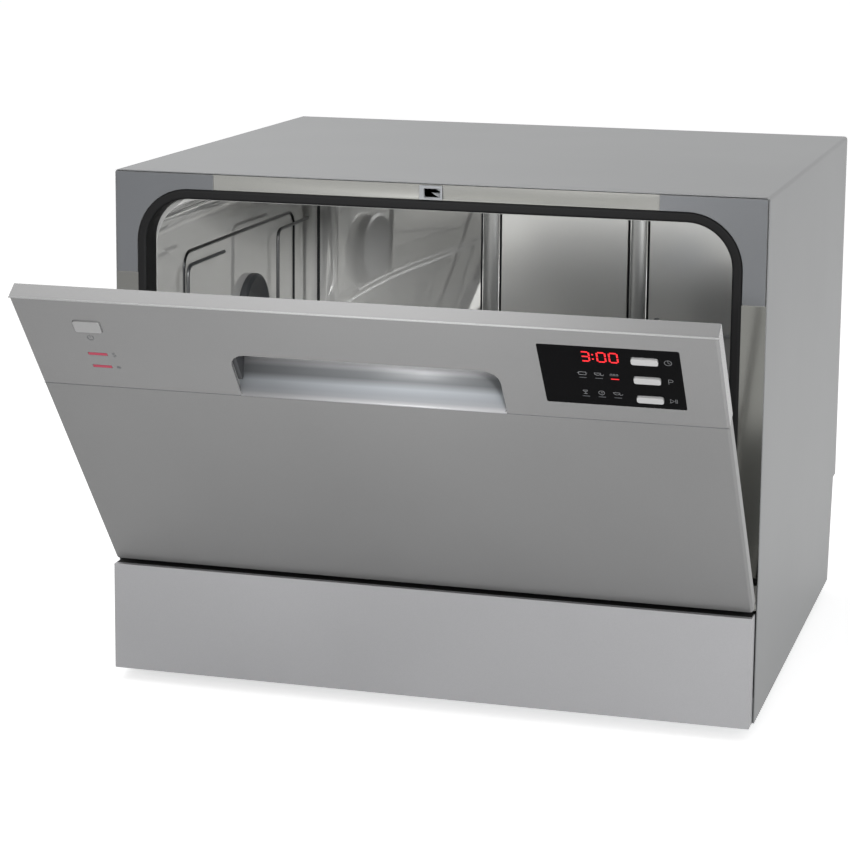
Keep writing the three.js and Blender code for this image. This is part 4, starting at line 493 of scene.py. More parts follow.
# Console: the moulded upper front of the door, painted satin silver, with its handle cup,
# gloss display window and keys. Mouldings have rolled edges and a very fine texture.
def moulded(name, colour, roughness, grain_mm=0.8, grain=0.06, specular=0.5):
    """An injection moulding: even colour, fine spark-eroded texture."""
    material, tree, shader = new_material(name)
    where = add_node(tree, "ShaderNodeTexCoord")
    texture = add_node(tree, "ShaderNodeTexNoise",
                       {"Vector": where.outputs["Object"], "Scale": 1 / (grain_mm * MM), "Detail": 2.0})
    flow = add_node(tree, "ShaderNodeTexNoise",
                    {"Vector": where.outputs["Object"], "Scale": 1 / (70 * MM), "Detail": 2.0})
    tint = add_node(tree, "ShaderNodeMapRange", {"Value": flow.outputs[0], "To Min": 0.94, "To Max": 1.06})
    base = add_node(tree, "ShaderNodeVectorMath", {0: linear(colour)[:3]}, operation="SCALE")
    tree.links.new(tint.outputs[0], base.inputs["Scale"])
    tree.links.new(base.outputs[0], shader.inputs["Base Color"])
    rough = add_node(tree, "ShaderNodeMapRange",
                     {"Value": texture.outputs[0], "To Min": roughness - 0.05, "To Max": roughness + 0.05})
    tree.links.new(rough.outputs[0], shader.inputs["Roughness"])
    shader.inputs["Specular IOR Level"].default_value = specular
    bump = add_node(tree, "ShaderNodeBump",
                    {"Height": texture.outputs[0], "Strength": grain, "Distance": 0.2 * MM})
    tree.links.new(bump.outputs[0], shader.inputs["Normal"])
    return material


console_paint = silver_paint("console_paint", "#8A8A8A", 0.24, 0.5)
cup_paint = silver_paint("handle_cup_paint", "#8E8F90", 0.4, 0.3)
button_paint = silver_paint("power_button_paint", "#A0A0A0", 0.3, 0.4)
key_plastic = moulded("key_abs", "#ACACAC", 0.4)
window_gloss = moulded("window_acrylic", "#050506", 0.25, grain=0.0, specular=0.04)
rolled("console", console_paint, 0.5 * MM, 1, flat=True)
rolled("handle_cup", cup_paint, 0.9 * MM, 3)
rolled("display_window", window_gloss, 0.25 * MM, 2)
# The keys look flatter than their solids, so each is drawn lower, about its own middle.
KEY_HEIGHT_SHARE = 0.78
flatten = Matrix.Diagonal((1, 1, KEY_HEIGHT_SHARE, 1))
for key in ("button_delay", "button_programme", "button_start"):
    key_piece = rolled(key, key_plastic, 0.6 * MM, 3)
    key_piece.data.transform(door_turn.inverted())
    heights = [v.co.z for v in key_piece.data.vertices]
    centre = Matrix.Translation((0, 0, (min(heights) + max(heights)) / 2))
    key_piece.data.transform(door_turn @ centre @ flatten @ centre.inverted())
rolled("power_button", button_paint, 0.6 * MM, 3)


# Console edge: a narrow lighter line where the console's face turns into its top, a painted highlight.
CONSOLE_TOP_Z = 0.438
EDGE_RADIUS = 0.65 * MM
EDGE_HALF_LENGTH = 0.2735
EDGE_Y = -15.5 * MM
EDGE_DROP = 0.5 * MM
edge_highlight_paint = moulded("console_edge_painted_highlight", "#A6A6A6", 0.4)
edge_line = bmesh.new()
edge_ends = [(x, EDGE_Y, CONSOLE_TOP_Z - EDGE_DROP) for x in (-EDGE_HALF_LENGTH, EDGE_HALF_LENGTH)]
round_bar(edge_line, *edge_ends, EDGE_RADIUS, 12)
finish_piece("console_edge", edge_line, edge_highlight_paint, "door", door_turn)


# Handle scoop: the satin lining of the handle recess, one curve from its proud lip at the bottom
# to the deep overhang that the finger tips pull on. Each point of the curve is a depth and a
# height in mm from the recess's foot. Its colour is painted light and shade in bands up the
# scoop: a painted shadow along the deepest part that shows, and painted highlights below and above it.
DOOR_FACE_Y = -0.016
SCOOP_FOOT_Z = 0.3405
SCOOP_ENDS = (-0.1068, 0.1048)
SCOOP_CURVE = ((0.3, -2.2), (-0.6, -1.7), (-0.7, -0.6), (0.2, 0.5), (2.2, 6), (5, 12), (10, 18.5),
               (16.6, 24.5), (19.3, 31), (19.5, 38), (19.5, 45.3))
SCOOP_WALL = 0.5 * MM
SCOOP_TOP = 45.3 * MM
PAINTED_LIGHT_HEIGHT = 0.045
SCOOP_PAINTED_LIGHT = ((0.0, "#A8A8AA"), (0.07, "#8E9093"), (0.15, "#898C90"), (0.27, "#92969A"), (0.38, "#606264"),
                (0.46, "#6A6C6E"), (0.57, "#B4B4B6"))


def smooth_run(points, steps=6):
    """A smooth curve that passes through points."""
    run = []
    ends = [points[0]] + list(points) + [points[-1]]
    for before, start, end, after in zip(ends, ends[1:], ends[2:], ends[3:]):
        for i in range(steps):
            t = i / steps
            cubic = t * (3 * (start - end) + after - before)
            square = t * (2 * before - 5 * start + 4 * end - after + cubic)
            run.append(start + 0.5 * t * (end - before + square))
    run.append(points[-1])
    return run


# The scoop's colour ramp by height is painted shade and painted highlight, not a colour of the paint.
scoop_painted_light, tree, shader = new_material("scoop_painted_light")
door_up = door_turn.to_3x3() @ Vector((0, 0, 1))
scoop_foot = door_turn @ Vector((0, DOOR_FACE_Y, SCOOP_FOOT_Z))
scoop_where = add_node(tree, "ShaderNodeTexCoord")
scoop_height = add_node(tree, "ShaderNodeVectorMath", {0: scoop_where.outputs["Object"], 1: tuple(door_up)},
                        operation="DOT_PRODUCT")
scoop_low = scoop_foot.dot(door_up)
scoop_share = add_node(tree, "ShaderNodeMapRange",
                       {"Value": scoop_height.outputs["Value"],
                        "From Min": scoop_low, "From Max": scoop_low + PAINTED_LIGHT_HEIGHT})
scoop_light_ramp = add_node(tree, "ShaderNodeValToRGB", {"Fac": scoop_share.outputs[0]})
for share, colour in SCOOP_PAINTED_LIGHT[2:]:
    scoop_light_ramp.color_ramp.elements.new(share)
for stop, (share, colour) in zip(scoop_light_ramp.color_ramp.elements, SCOOP_PAINTED_LIGHT):
    stop.position = share
    stop.color = linear(colour)
tree.links.new(scoop_light_ramp.outputs[0], shader.inputs["Base Color"])
shader.inputs["Roughness"].default_value = 0.45
shader.inputs["Metallic"].default_value = 0.15
scoop_run = smooth_run([Vector((0, DOOR_FACE_Y + depth * MM, SCOOP_FOOT_Z + up * MM))
                        for depth, up in SCOOP_CURVE])
scoop = bmesh.new()
left, right = [[scoop.verts.new((x, p.y, p.z)) for p in scoop_run] for x in SCOOP_ENDS]
for i in range(len(scoop_run) - 1):
    scoop.faces.new((left[i], right[i], right[i + 1], left[i + 1]))
# A dark plate at the left end of the recess is painted shade for its end wall, which lies in deep shadow.
SCOOP_END_LOW = 14 * MM
SCOOP_END_WIDTH = 3.5 * MM
SCOOP_END_DEPTH = (DOOR_FACE_Y + 3 * MM, DOOR_FACE_Y + 19 * MM)
scoop_end_painted_shade = silver_paint("scoop_end_painted_shade", "#3C3D3F", 0.5, 0.2)
scoop_end = bmesh.new()
block(scoop_end, (SCOOP_ENDS[0], SCOOP_ENDS[0] + SCOOP_END_WIDTH), SCOOP_END_DEPTH,
      (SCOOP_FOOT_Z + SCOOP_END_LOW, SCOOP_FOOT_Z + SCOOP_TOP))
finish_piece("handle_scoop_end", scoop_end, scoop_end_painted_shade, "door", door_turn)
lining = finish_piece("handle_scoop", scoop, scoop_painted_light, "door", door_turn)
thicken = lining.modifiers.new("wall", "SOLIDIFY")
thicken.thickness = SCOOP_WALL
thicken.offset = -1.0


# Status lights and the figures on the display: red light seen through clear plastic.
def glowing(name, colour, strength, roughness=0.3):
    """Clear red plastic lit from behind, a little uneven across its width."""
    material, tree, shader = new_material(name)
    where = add_node(tree, "ShaderNodeTexCoord")
    blotch = add_node(tree, "ShaderNodeTexNoise",
                      {"Vector": where.outputs["Object"], "Scale": 1 / (4 * MM), "Detail": 1.0})
    level = add_node(tree, "ShaderNodeMapRange",
                     {"Value": blotch.outputs[0], "To Min": strength * 0.85, "To Max": strength * 1.15})
    shader.inputs["Base Color"].default_value = linear(colour)
    shader.inputs["Emission Color"].default_value = linear(colour)
    tree.links.new(level.outputs[0], shader.inputs["Emission Strength"])
    shader.inputs["Roughness"].default_value = roughness
    return material


bar_red = glowing("status_light_lens", "#A22C46", 0.1)
figure_red = glowing("display_figures", "#E0101C", 0.6)
dress("light_guide", bar_red)

DOOR_FOOT_Z = 0.108
PRINT = 0.12 * MM
FIGURE_HEIGHT = 10 * MM
FIGURE_WIDTH = 6 * MM
STROKE = 1.3 * MM
SEGMENTS = {"0": "abcdef", "3": "abcdg"}


def on_door(bm, x, up, width, height, proud=PRINT):
    """Adds a thin plate on the shut door's face: x and up are its centre, up from the door's foot."""
    block(bm, (x - width / 2, x + width / 2), (DOOR_FACE_Y - proud, DOOR_FACE_Y - 0.01 * MM),
          (DOOR_FOOT_Z + up - height / 2, DOOR_FOOT_Z + up + height / 2))


def figure(bm, character, x, up):
    """Adds a seven-segment figure centred at x, up."""
    w, h = FIGURE_WIDTH / 2, FIGURE_HEIGHT / 2
    bars = {"a": (0, h, True), "d": (0, -h, True), "g": (0, 0, True), "b": (w, h / 2, False),
            "c": (w, -h / 2, False), "e": (-w, -h / 2, False), "f": (-w, h / 2, False)}
    for letter in SEGMENTS[character]:
        dx, dz, flat = bars[letter]
        size = (FIGURE_WIDTH - STROKE, STROKE) if flat else (STROKE, h - STROKE * 0.8)
        on_door(bm, x + dx, up + dz, *size)


FIGURES_X, FIGURES_UP = 0.1838, 0.302
COLON_X = FIGURES_X - 4.8 * MM
COLON_RISE = 2.4 * MM
figures = bmesh.new()
for offset, character in ((-10.5, "3"), (1.5, "0"), (10.5, "0")):
    figure(figures, character, FIGURES_X + offset * MM, FIGURES_UP)
for rise in (-COLON_RISE, COLON_RISE):
    on_door(figures, COLON_X, FIGURES_UP + rise, STROKE, STROKE)
finish_piece("display_figures", figures, figure_red, "door", door_turn)


# Printing on the console: fine raised lines of ink, dark on the silver and pale on the window.
# All of it is generic: a power sign, two status signs, three key signs and six programme signs.
INK_RADIUS = 0.26 * MM
pale_ink = moulded("pale_ink", "#68696B", 0.6, grain_mm=0.4, grain=0.02)
dark_ink = moulded("dark_ink", "#55575A", 0.6, grain_mm=0.4, grain=0.02)


def rounded_run(points, bend, steps=5):
    """A run of wire through points, whose corners are bent to a radius."""
    run = [Vector(points[0])]
    for before, corner, after in zip(points, points[1:], points[2:]):
        corner = Vector(corner)
        start = corner + (Vector(before) - corner).normalized() * bend
        end = corner + (Vector(after) - corner).normalized() * bend
        for i in range(steps + 1):
            t = i / steps
            run.append(start.lerp(corner, t).lerp(corner.lerp(end, t), t))
    run.append(Vector(points[-1]))
    return run


def wires(runs, radius, sides=2):
    """A bmesh of round wire along each run of points."""
    curve = bpy.data.curves.new("wire_runs", "CURVE")
    curve.dimensions = "3D"
    curve.bevel_depth = radius
    curve.bevel_resolution = sides
    curve.use_fill_caps = True
    for run in runs:
        spline = curve.splines.new("POLY")
        spline.points.add(len(run) - 1)
        for point, place in zip(spline.points, run):
            point.co = (*place, 1.0)
    carrier = bpy.data.objects.new("wire_runs", curve)
    mesh = bpy.data.meshes.new_from_object(carrier)
    bm = bmesh.new()
    bm.from_mesh(mesh)
    bpy.data.objects.remove(carrier)
    bpy.data.curves.remove(curve)
    bpy.data.meshes.remove(mesh)
    return bm


def arc(x, up, radius, start, sweep, steps=14):
    """Points of an arc on the door's face, with angles in degrees."""
    angles = [math.radians(start + sweep * i / steps) for i in range(steps + 1)]
    return [(x + radius * math.cos(a), up + radius * math.sin(a)) for a in angles]


def printed(name, lines, ink):
    """Ink lines on the shut door's face, given as runs of (x, up)."""
    runs = [[Vector((x, DOOR_FACE_Y, DOOR_FOOT_Z + up)) for x, up in line] for line in lines]
    finish_piece(name, wires(runs, INK_RADIUS, 1), ink, "door", door_turn)


# Joint between the console and the door panel: a narrow dark strip across the door's face, painted shadow for the
# gap between them.
CONSOLE_FOOT = 0.2302
JOINT_LENGTH, JOINT_WIDTH = 0.546, 0.5 * MM
joint_shadow = bmesh.new()
on_door(joint_shadow, 0, CONSOLE_FOOT, JOINT_LENGTH, JOINT_WIDTH)
finish_piece("console_joint_shadow", joint_shadow, dark_ink, "door", door_turn)


# Signs on the console. Their strokes are written in mm about each sign's centre.
def stroke(x, up, *points):
    """A run of ink about the centre x, up, through points given in mm."""
    return [(x + across * MM, up + rise * MM) for across, rise in points]


def bow(x, up, across, rise, radius, start, sweep):
    """An arc of ink about the centre x, up, whose own centre and radius are given in mm."""
    return arc(x + across * MM, up + rise * MM, radius * MM, start, sweep)


def pot(x, up):
    """A covered pot with two handles."""
    return [stroke(x, up, (-2.7, 1.5), (-2.7, -1.5), (2.7, -1.5), (2.7, 1.5), (-2.7, 1.5)),
            stroke(x, up, (-3.7, 0.4), (-2.7, 0.4)), stroke(x, up, (2.7, 0.4), (3.7, 0.4))]


def bowl(x, up):
    """A bowl with a cup beside it."""
    return [bow(x, up, -0.6, 1.2, 2.4, 180, 180), stroke(x, up, (-3, 1.2), (1.8, 1.2)),
            bow(x, up, 2.6, -0.2, 1.2, 180, 180)]


def stem_glass(x, up):
    """A glass on a stem."""
    return [bow(x, up, 0, 2, 1.7, 180, 180), stroke(x, up, (-1.7, 2), (1.7, 2)),
            stroke(x, up, (0, 0.3), (0, -1.9)), stroke(x, up, (-1.3, -1.9), (1.3, -1.9))]


def letters(x, up):
    """A short word, as three plain arches."""
    return [stroke(x, up, (left, -1), (left, 1), (left + 1.2, 1), (left + 1.2, -1))
            for left in (-3.2, -1, 1.2)]


def dial(x, up):
    """A clock face with a hand."""
    return [bow(x, up, 0, 0, 2.2, 0, 360), stroke(x, up, (0, 1.4), (0, 0), (1.2, 0))]


POWER_SIGN = (-0.217, 0.288)
SALT_SIGN = (-0.2025, 0.268)
RINSE_SIGN = (-0.2025, 0.2545)
RINSE_ARM = 1.9
power_lines = [bow(*POWER_SIGN, 0, 0, 2.6, 120, 300), stroke(*POWER_SIGN, (0, 0.4), (0, 3.4))]
salt_lines = [bow(*SALT_SIGN, 0, 2.2, 1.1, 30, 240), bow(*SALT_SIGN, 0, 0, 1.1, 210, 240)]
rinse_lines = []
for turn in (0, 60, 120):
    across, rise = RINSE_ARM * math.cos(math.radians(turn)), RINSE_ARM * math.sin(math.radians(turn))
    rinse_lines.append(stroke(*RINSE_SIGN, (across, rise), (-across, -rise)))
printed("console_signs", power_lines + salt_lines + rinse_lines, dark_ink)

DELAY_SIGN = (0.2342, 0.3)
PROGRAMME_SIGN = (0.2342, 0.2789)
START_SIGN = (0.2342, 0.2576)
delay_lines = [bow(*DELAY_SIGN, 0, 0, 2.7, 0, 360), stroke(*DELAY_SIGN, (0, 2), (0, 0), (1.6, -0.8))]
programme_lines = [stroke(*PROGRAMME_SIGN, (-1.6, -2.4), (-1.6, 2.6), (0.4, 2.6)),
                   bow(*PROGRAMME_SIGN, 0.4, 1.3, 1.3, 90, -180),
                   stroke(*PROGRAMME_SIGN, (0.4, 0), (-1.6, 0))]
start_lines = [stroke(*START_SIGN, (-2.4, -2.1), (-2.4, 2.1), (0.5, 0), (-2.4, -2.1)),
               stroke(*START_SIGN, (1.6, -2.1), (1.6, 2.1)), stroke(*START_SIGN, (2.7, -2.1), (2.7, 2.1))]

SIGN_COLUMNS = (0.169, 0.181, 0.193)
SIGN_ROWS = (0.283, 0.262)
LAMP_DROP = 4.6 * MM
LAMP_WIDTH, LAMP_HEIGHT = 5.5 * MM, 0.5 * MM
LIT_WIDTH, LIT_HEIGHT = 6 * MM, 0.9 * MM
window_lines = delay_lines + programme_lines + start_lines
for up, row in zip(SIGN_ROWS, ((pot, bowl, letters), (stem_glass, dial, bowl))):
    for x, draw in zip(SIGN_COLUMNS, row):
        window_lines += draw(x, up)
printed("window_signs", window_lines, pale_ink)
bars = bmesh.new()
for row, up in enumerate(SIGN_ROWS):
    for column, x in enumerate(SIGN_COLUMNS):
        if (row, column) != (0, 2):
            on_door(bars, x, up - LAMP_DROP, LAMP_WIDTH, LAMP_HEIGHT)
finish_piece("programme_lamps", bars, dark_ink, "door", door_turn)
lit = bmesh.new()
on_door(lit, SIGN_COLUMNS[2], SIGN_ROWS[0] - LAMP_DROP, LIT_WIDTH, LIT_HEIGHT)
finish_piece("lit_programme_lamp", lit, figure_red, "door", door_turn)


# Dish basket: grey coated round wire. A floor net, a ring of wall nets and two rows of tines
# stand on four wheels that run on the ledges of the tub.
coated_wire = moulded("coated_wire", "#8E9092", 0.42, grain_mm=1.2, grain=0.08)
WIRE_RADIUS = 1.6 * MM
THIN_RADIUS = 1.3 * MM
WIRE_LAP = 2.6 * MM
floor_low, floor_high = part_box("basket_floor")
wall_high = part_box("basket_walls")[1]
FLOOR_Z = floor_high[2] - WIRE_RADIUS
LAP_Z = FLOOR_Z - WIRE_LAP
RIM_Z = wall_high[2] - WIRE_RADIUS
MID_Z = RIM_Z - 46 * MM
WIRE_END = WIRE_RADIUS + 0.6 * MM
FLOOR_HALF = floor_high[0] - WIRE_END
NET_FRONT, NET_REAR = floor_low[1] + WIRE_END, floor_high[1] - WIRE_END
SIDE = 221 * MM
UPRIGHT_FOOT_Z = FLOOR_Z + 2 * MM


def spaced(start, end, count):
    """Values spread evenly from start to end."""
    return [start + (end - start) * i / (count - 1) for i in range(count)]


net_columns = spaced(-FLOOR_HALF, FLOOR_HALF, 13)
net_rows = spaced(NET_FRONT, NET_REAR, 6)
TINE_COLUMNS = (2, 5)
runs = [[(x, floor_low[1], FLOOR_Z), (x, floor_high[1], FLOOR_Z)]
        for i, x in enumerate(net_columns) if i not in TINE_COLUMNS]
runs += [[(floor_low[0], y, LAP_Z), (floor_high[0], y, LAP_Z)] for y in net_rows]
net = finish_piece("floor_net", wires(runs, WIRE_RADIUS), coated_wire, "basket")
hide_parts("basket_floor")

CORNER_BEND = 14 * MM
runs = []
for z in (MID_Z, RIM_Z):
    corners = [(-SIDE, NET_FRONT, z), (SIDE, NET_FRONT, z), (SIDE, NET_REAR, z), (-SIDE, NET_REAR, z)]
    loop = rounded_run([(0, NET_FRONT, z)] + corners[1:] + corners[:1] + [(0, NET_FRONT, z)], CORNER_BEND)
    runs.append(loop)
thin = []
for x in net_columns[2:-1:2]:
    thin += [[(x, y, UPRIGHT_FOOT_Z), (x, y, RIM_Z)] for y in (NET_FRONT, NET_REAR)]
for y in net_rows[1:-1]:
    thin += [[(x, y, UPRIGHT_FOOT_Z), (x, y, RIM_Z)] for x in (-SIDE, SIDE)]
walls = wires(runs, WIRE_RADIUS)
uprights = wires(thin, THIN_RADIUS)
upright_mesh = bpy.data.meshes.new("uprights")
uprights.to_mesh(upright_mesh)
uprights.free()
walls.from_mesh(upright_mesh)
WHEEL_INSET = 46 * MM
AXLE_Z = 148.3 * MM
AXLE_RADIUS = 3 * MM
AXLE_END = 242 * MM
PLATE_INNER, PLATE_OUTER = 222 * MM, 225 * MM
PLATE_HALF = 6 * MM
for y in (NET_FRONT + WHEEL_INSET, NET_REAR - WHEEL_INSET):
    for side in (-1, 1):
        plate = sorted((side * PLATE_INNER, side * PLATE_OUTER))
        block(walls, plate, (y - PLATE_HALF, y + PLATE_HALF), (AXLE_Z - PLATE_HALF, MID_Z))
        round_bar(walls, (side * PLATE_INNER, y, AXLE_Z), (side * AXLE_END, y, AXLE_Z), AXLE_RADIUS, 16)
net = finish_piece("wall_nets", walls, coated_wire, "basket")
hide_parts("basket_walls")

TINES = 10
TINE_TOP = 216 * MM
TINE_BASE = LAP_Z + 3.5 * MM
TINE_PITCH = (NET_REAR - NET_FRONT) / TINES
TINE_BAR_INSET = 3.2 * MM
for node, column in zip(("tine_row_left", "tine_row_middle"), TINE_COLUMNS):
    x = net_columns[column]
    runs = [[(x, NET_FRONT + TINE_BAR_INSET, TINE_BASE), (x, NET_REAR - TINE_BAR_INSET, TINE_BASE)]]
    for i in range(TINES):
        y = NET_FRONT + TINE_PITCH * (i + 0.5)
        runs.append([(x, y, TINE_BASE), (x, y, TINE_TOP)])
    row = finish_piece(node + "_wires", wires(runs, THIN_RADIUS), coated_wire, "basket")
    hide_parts(node)

wheel_plastic = moulded("wheel_acetal", "#C9CACB", 0.4, grain=0.03)
for end in ("front", "rear"):
    for side in ("left", "right"):
        rolled("roller_%s_%s" % (end, side), wheel_plastic, 0.8 * MM, 3)


# Cup shelf: dark coated wire. Two wires stand on a bar that turns beside the rim, and each is
# bent over to the rear, to end free.
shelf_wire = moulded("dark_coated_wire", "#26282A", 0.38, grain_mm=1.2, grain=0.06)
shelf_low, shelf_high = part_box("cup_shelf")
SHELF_X = (shelf_low[0] + shelf_high[0]) / 2
SHELF_BAR_Z = shelf_low[2] + WIRE_RADIUS
SHELF_TOP_Z = shelf_high[2] - WIRE_RADIUS
SHELF_BEND = 10 * MM
SHELF_REACH = 88 * MM
front_post = shelf_low[1] + WIRE_RADIUS
rear_post = shelf_high[1] - SHELF_REACH
runs = [[(SHELF_X, shelf_low[1], SHELF_BAR_Z), (SHELF_X, shelf_high[1], SHELF_BAR_Z)]]
for post in (front_post, rear_post):
    corners = [(SHELF_X, post, SHELF_BAR_Z), (SHELF_X, post, SHELF_TOP_Z),
               (SHELF_X, post + SHELF_REACH, SHELF_TOP_Z)]
    runs.append(rounded_run(corners, SHELF_BEND))
shelf = finish_piece("cup_shelf_wires", wires(runs, WIRE_RADIUS), shelf_wire, "cup_shelf")
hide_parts("cup_shelf")


# Cutlery basket: a moulded grey caddy with a carrying handle and slotted walls.
caddy_plastic = moulded("caddy_polypropylene", "#6F7276", 0.5, grain=0.08)
rolled("cutlery_basket", caddy_plastic, 0.6 * MM, 2)


# Wash system: grey mouldings round the sump, a perforated steel filter plate, the spray arm,
# the salt cap, the overfill float and the breather. Holes and jets are drawn as dark discs of the caps' plastic:
# painted shade in the openings.
sump_plastic = moulded("sump_polypropylene", "#3A3C3F", 0.55)
arm_plastic = moulded("spray_arm_polypropylene", "#7F8285", 0.45)
strainer_plastic = moulded("strainer_polypropylene", "#6C7074", 0.5)
cap_plastic = moulded("cap_polypropylene", "#2A2C2F", 0.5)
float_plastic = moulded("float_polypropylene", "#C4C5C4", 0.45)
rolled("sump", sump_plastic, 0.6 * MM, 2)
rolled("strainer_cup", strainer_plastic, 0.5 * MM, 2)
rolled("spray_arm", arm_plastic, 2.5 * MM, 4)
rolled("softener_tank", strainer_plastic, 0.8 * MM, 2)
rolled("salt_cap", cap_plastic, 0.8 * MM, 3)
rolled("float_bell", float_plastic, 0.6 * MM, 2)
rolled("breather_cap", cap_plastic, 0.8 * MM, 3)
filter_steel = bright_stainless("filter_stainless", "#B9B9B6", 0.3)
rolled("filter_plate", filter_steel, 0.3 * MM, 2)

SUMP_CENTRE = Vector((0, FLANGE_Y + 220 * MM))
DISC_LIFT = 0.05 * MM
FILTER_DISC_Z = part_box("filter_plate")[1][2] + DISC_LIFT
HOLE_RADIUS = 1.4 * MM
HOLE_SPACING = 8 * MM
HOLE_RINGS_MM = (38, 48, 58, 68, 78, 88)
CUP_FROM_CENTRE = Vector((52 * MM, 0))
CUP_CLEARANCE = 33 * MM
holes = bmesh.new()
for ring in HOLE_RINGS_MM:
    count = int(2 * math.pi * ring * MM / HOLE_SPACING)
    for i in range(count):
        angle = 2 * math.pi * i / count
        reach = ring * MM * Vector((math.cos(angle), math.sin(angle)))
        if (reach - CUP_FROM_CENTRE).length > CUP_CLEARANCE:
            matrix = Matrix.Translation((*(SUMP_CENTRE + reach), FILTER_DISC_Z))
            bmesh.ops.create_circle(holes, cap_ends=True, segments=10, radius=HOLE_RADIUS, matrix=matrix)
finish_piece("filter_holes", holes, cap_plastic, "cabinet")

JET_DISC_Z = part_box("spray_arm")[1][2] - 2 * MM + DISC_LIFT
JET_REACHES_MM = (-172, -132, -92, -52, 52, 92, 132, 172)
JET_RADIUS = 1.3 * MM
ARM_ANGLE = math.radians(28)
slotted = Matrix.Rotation(ARM_ANGLE, 4, "Z") @ Matrix.Diagonal((3.2, 1, 1, 1))
jets = bmesh.new()
for reach in JET_REACHES_MM:
    at = SUMP_CENTRE + reach * MM * Vector((math.cos(ARM_ANGLE), math.sin(ARM_ANGLE)))
    matrix = Matrix.Translation((*at, JET_DISC_Z)) @ slotted
    bmesh.ops.create_circle(jets, cap_ends=True, segments=12, radius=JET_RADIUS, matrix=matrix)
finish_piece("spray_jets", jets, cap_plastic, "spray_arm")


# Cabinet underside and back: zinc-plated steel trays and panels, rubber feet, and the water and
# power connections. Cross-headed screws hold the panels.
zinc_steel = silver_paint("zinc_plated_steel", "#8F9294", 0.4, 0.8, flake_mm=2.0)
for node in ("base_pan", "back_panel", "service_panel"):
    rolled(node, zinc_steel, 0.4 * MM, 2)
foot_rubber = black_rubber("foot_rubber", "#1A1A1B", 0.6)
for end in ("front", "rear"):
    for side in ("left", "right"):
        rolled("foot_%s_%s" % (end, side), foot_rubber, 1.0 * MM, 3)
valve_plastic = moulded("valve_nylon", "#CFCFCB", 0.45)
black_plastic = moulded("black_nylon", "#1F2022", 0.5)
rolled("inlet_valve", valve_plastic, 0.5 * MM, 2)
rolled("drain_spigot", black_plastic, 0.5 * MM, 2)
rolled("cord_gland", black_plastic, 0.5 * MM, 2)

SCREW_RADIUS = 3.2 * MM
SCREW_HEAD = 1.6 * MM
screw_steel = silver_paint("screw_steel", "#A9ABAC", 0.3, 0.95, flake_mm=1.0)


def screw_heads(name, places, facing, material, body):
    """Round screw heads on a face, each with a dark cross that is painted shade for its recess; facing is the way
    that they look.
    """
    turn = Vector(facing).to_track_quat("Z", "Y").to_matrix().to_4x4()
    heads = bmesh.new()
    cross_shades = bmesh.new()
    for place in places:
        at = Matrix.Translation(place) @ turn
        bmesh.ops.create_cone(heads, cap_ends=True, segments=20, radius1=SCREW_RADIUS,
                              radius2=SCREW_RADIUS * 0.62, depth=SCREW_HEAD,
                              matrix=at @ Matrix.Translation((0, 0, SCREW_HEAD / 2)))
        for quarter in (0, math.pi / 2):
            shape = Matrix.Diagonal((SCREW_RADIUS * 1.05, SCREW_RADIUS * 0.24, 0.1 * MM, 1))
            matrix = at @ Matrix.Translation((0, 0, SCREW_HEAD)) @ Matrix.Rotation(quarter, 4, "Z") @ shape
            bmesh.ops.create_cube(cross_shades, size=1, matrix=matrix)
    finish_piece(name, heads, material, body)
    finish_piece(name + "_crosses", cross_shades, black_plastic, body)


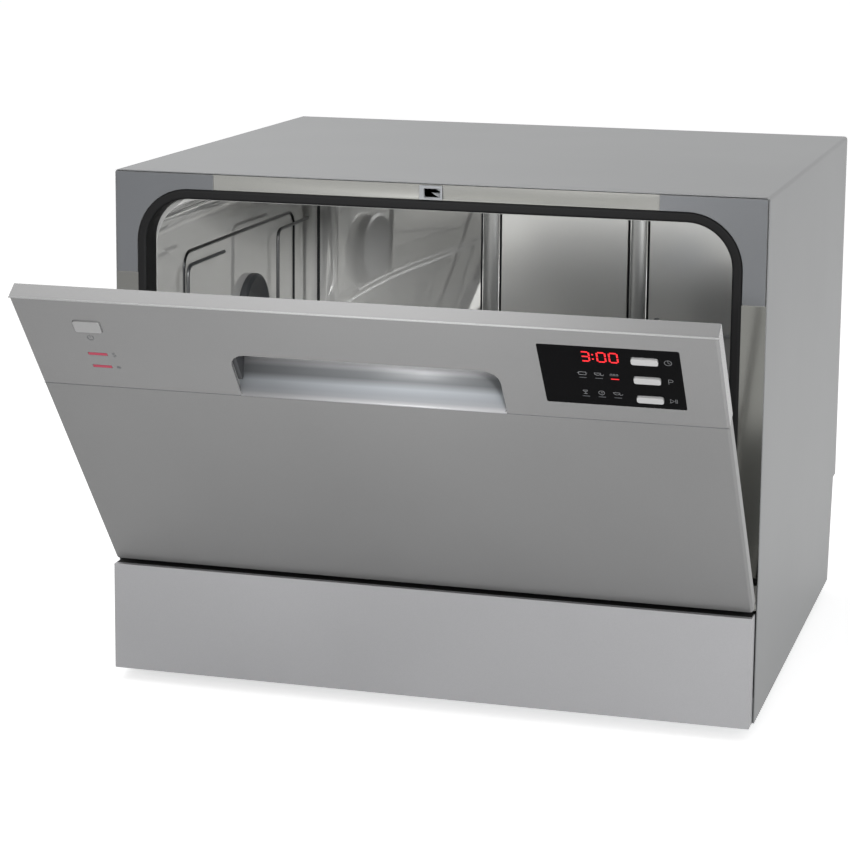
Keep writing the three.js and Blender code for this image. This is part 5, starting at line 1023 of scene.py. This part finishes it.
service_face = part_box("service_panel")[1][1]
SERVICE_SCREW_X = 0.25
SERVICE_SCREW_HEIGHTS = (0.03, 0.095)
service_screws = [(x, service_face, z) for x in (-SERVICE_SCREW_X, SERVICE_SCREW_X)
                  for z in SERVICE_SCREW_HEIGHTS]
screw_heads("service_screws", service_screws, (0, 1, 0), screw_steel, "cabinet")
back_low, back_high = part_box("back_panel")
SCREW_INSET = 9 * MM
back_columns = spaced(back_low[0] + SCREW_INSET, back_high[0] - SCREW_INSET, 5)
back_rows = spaced(back_low[2] + SCREW_INSET, back_high[2] - SCREW_INSET, 4)
back_screws = [(x, back_high[1], z) for x in back_columns for z in (back_rows[0], back_rows[-1])]
back_screws += [(x, back_high[1], z) for x in (back_columns[0], back_columns[-1]) for z in back_rows[1:-1]]
screw_heads("back_screws", back_screws, (0, 1, 0), screw_steel, "cabinet")


# Latch: a grey moulded bezel with its slot in the flange, the pawl inside and the door's tongue.
bezel_plastic = moulded("latch_bezel_plastic", "#85878A", 0.4)
rolled("latch_housing", bezel_plastic, 0.4 * MM, 3)
rolled("latch_pawl", valve_plastic, 0.3 * MM, 2)
rolled("latch_tongue", zinc_steel, 0.4 * MM, 2)


# Door hinges: plated steel brackets in the cabinet and arms in the door.
hinge_steel = silver_paint("hinge_steel", "#8B8D8F", 0.32, 0.9, flake_mm=1.5)
for side in ("left", "right"):
    rolled("hinge_bracket_" + side, hinge_steel, 0.4 * MM, 2)
    rolled("hinge_arm_" + side, hinge_steel, 0.4 * MM, 2)


# Inner door: a pressed stainless liner that carries the detergent dispenser, with its sliding
# cover and the blue cap of the rinse-aid tank.
liner_steel = bright_stainless("liner_stainless", "#DEDEDC", 0.2, 0.5, stretch=(40, 1, 1))
rolled("door_liner", liner_steel, 0.8 * MM, 3)
dispenser_plastic = moulded("dispenser_polypropylene", "#A9ABAC", 0.42)
cover_plastic = moulded("dispenser_cover_plastic", "#8C8F92", 0.4)
cap_blue = moulded("rinse_cap_plastic", "#3E6FA6", 0.35)
rolled("dispenser_body", dispenser_plastic, 0.7 * MM, 3)
rolled("dispenser_cover", cover_plastic, 0.8 * MM, 3)
rolled("rinse_aid_cap", cap_blue, 0.8 * MM, 3)


# Units under and beside the tub: the air-break tank, the circulation pump with its impeller,
# and the drain pump.
tank_plastic = moulded("air_break_polypropylene", "#BFC0BC", 0.4)
pump_plastic = moulded("pump_polypropylene", "#2C2E30", 0.5)
rolled("air_break_tank", tank_plastic, 0.6 * MM, 2)
for node in ("circulation_pump", "drain_pump"):
    rolled(node, pump_plastic, 0.6 * MM, 2)
dress("pump_impeller", wheel_plastic)
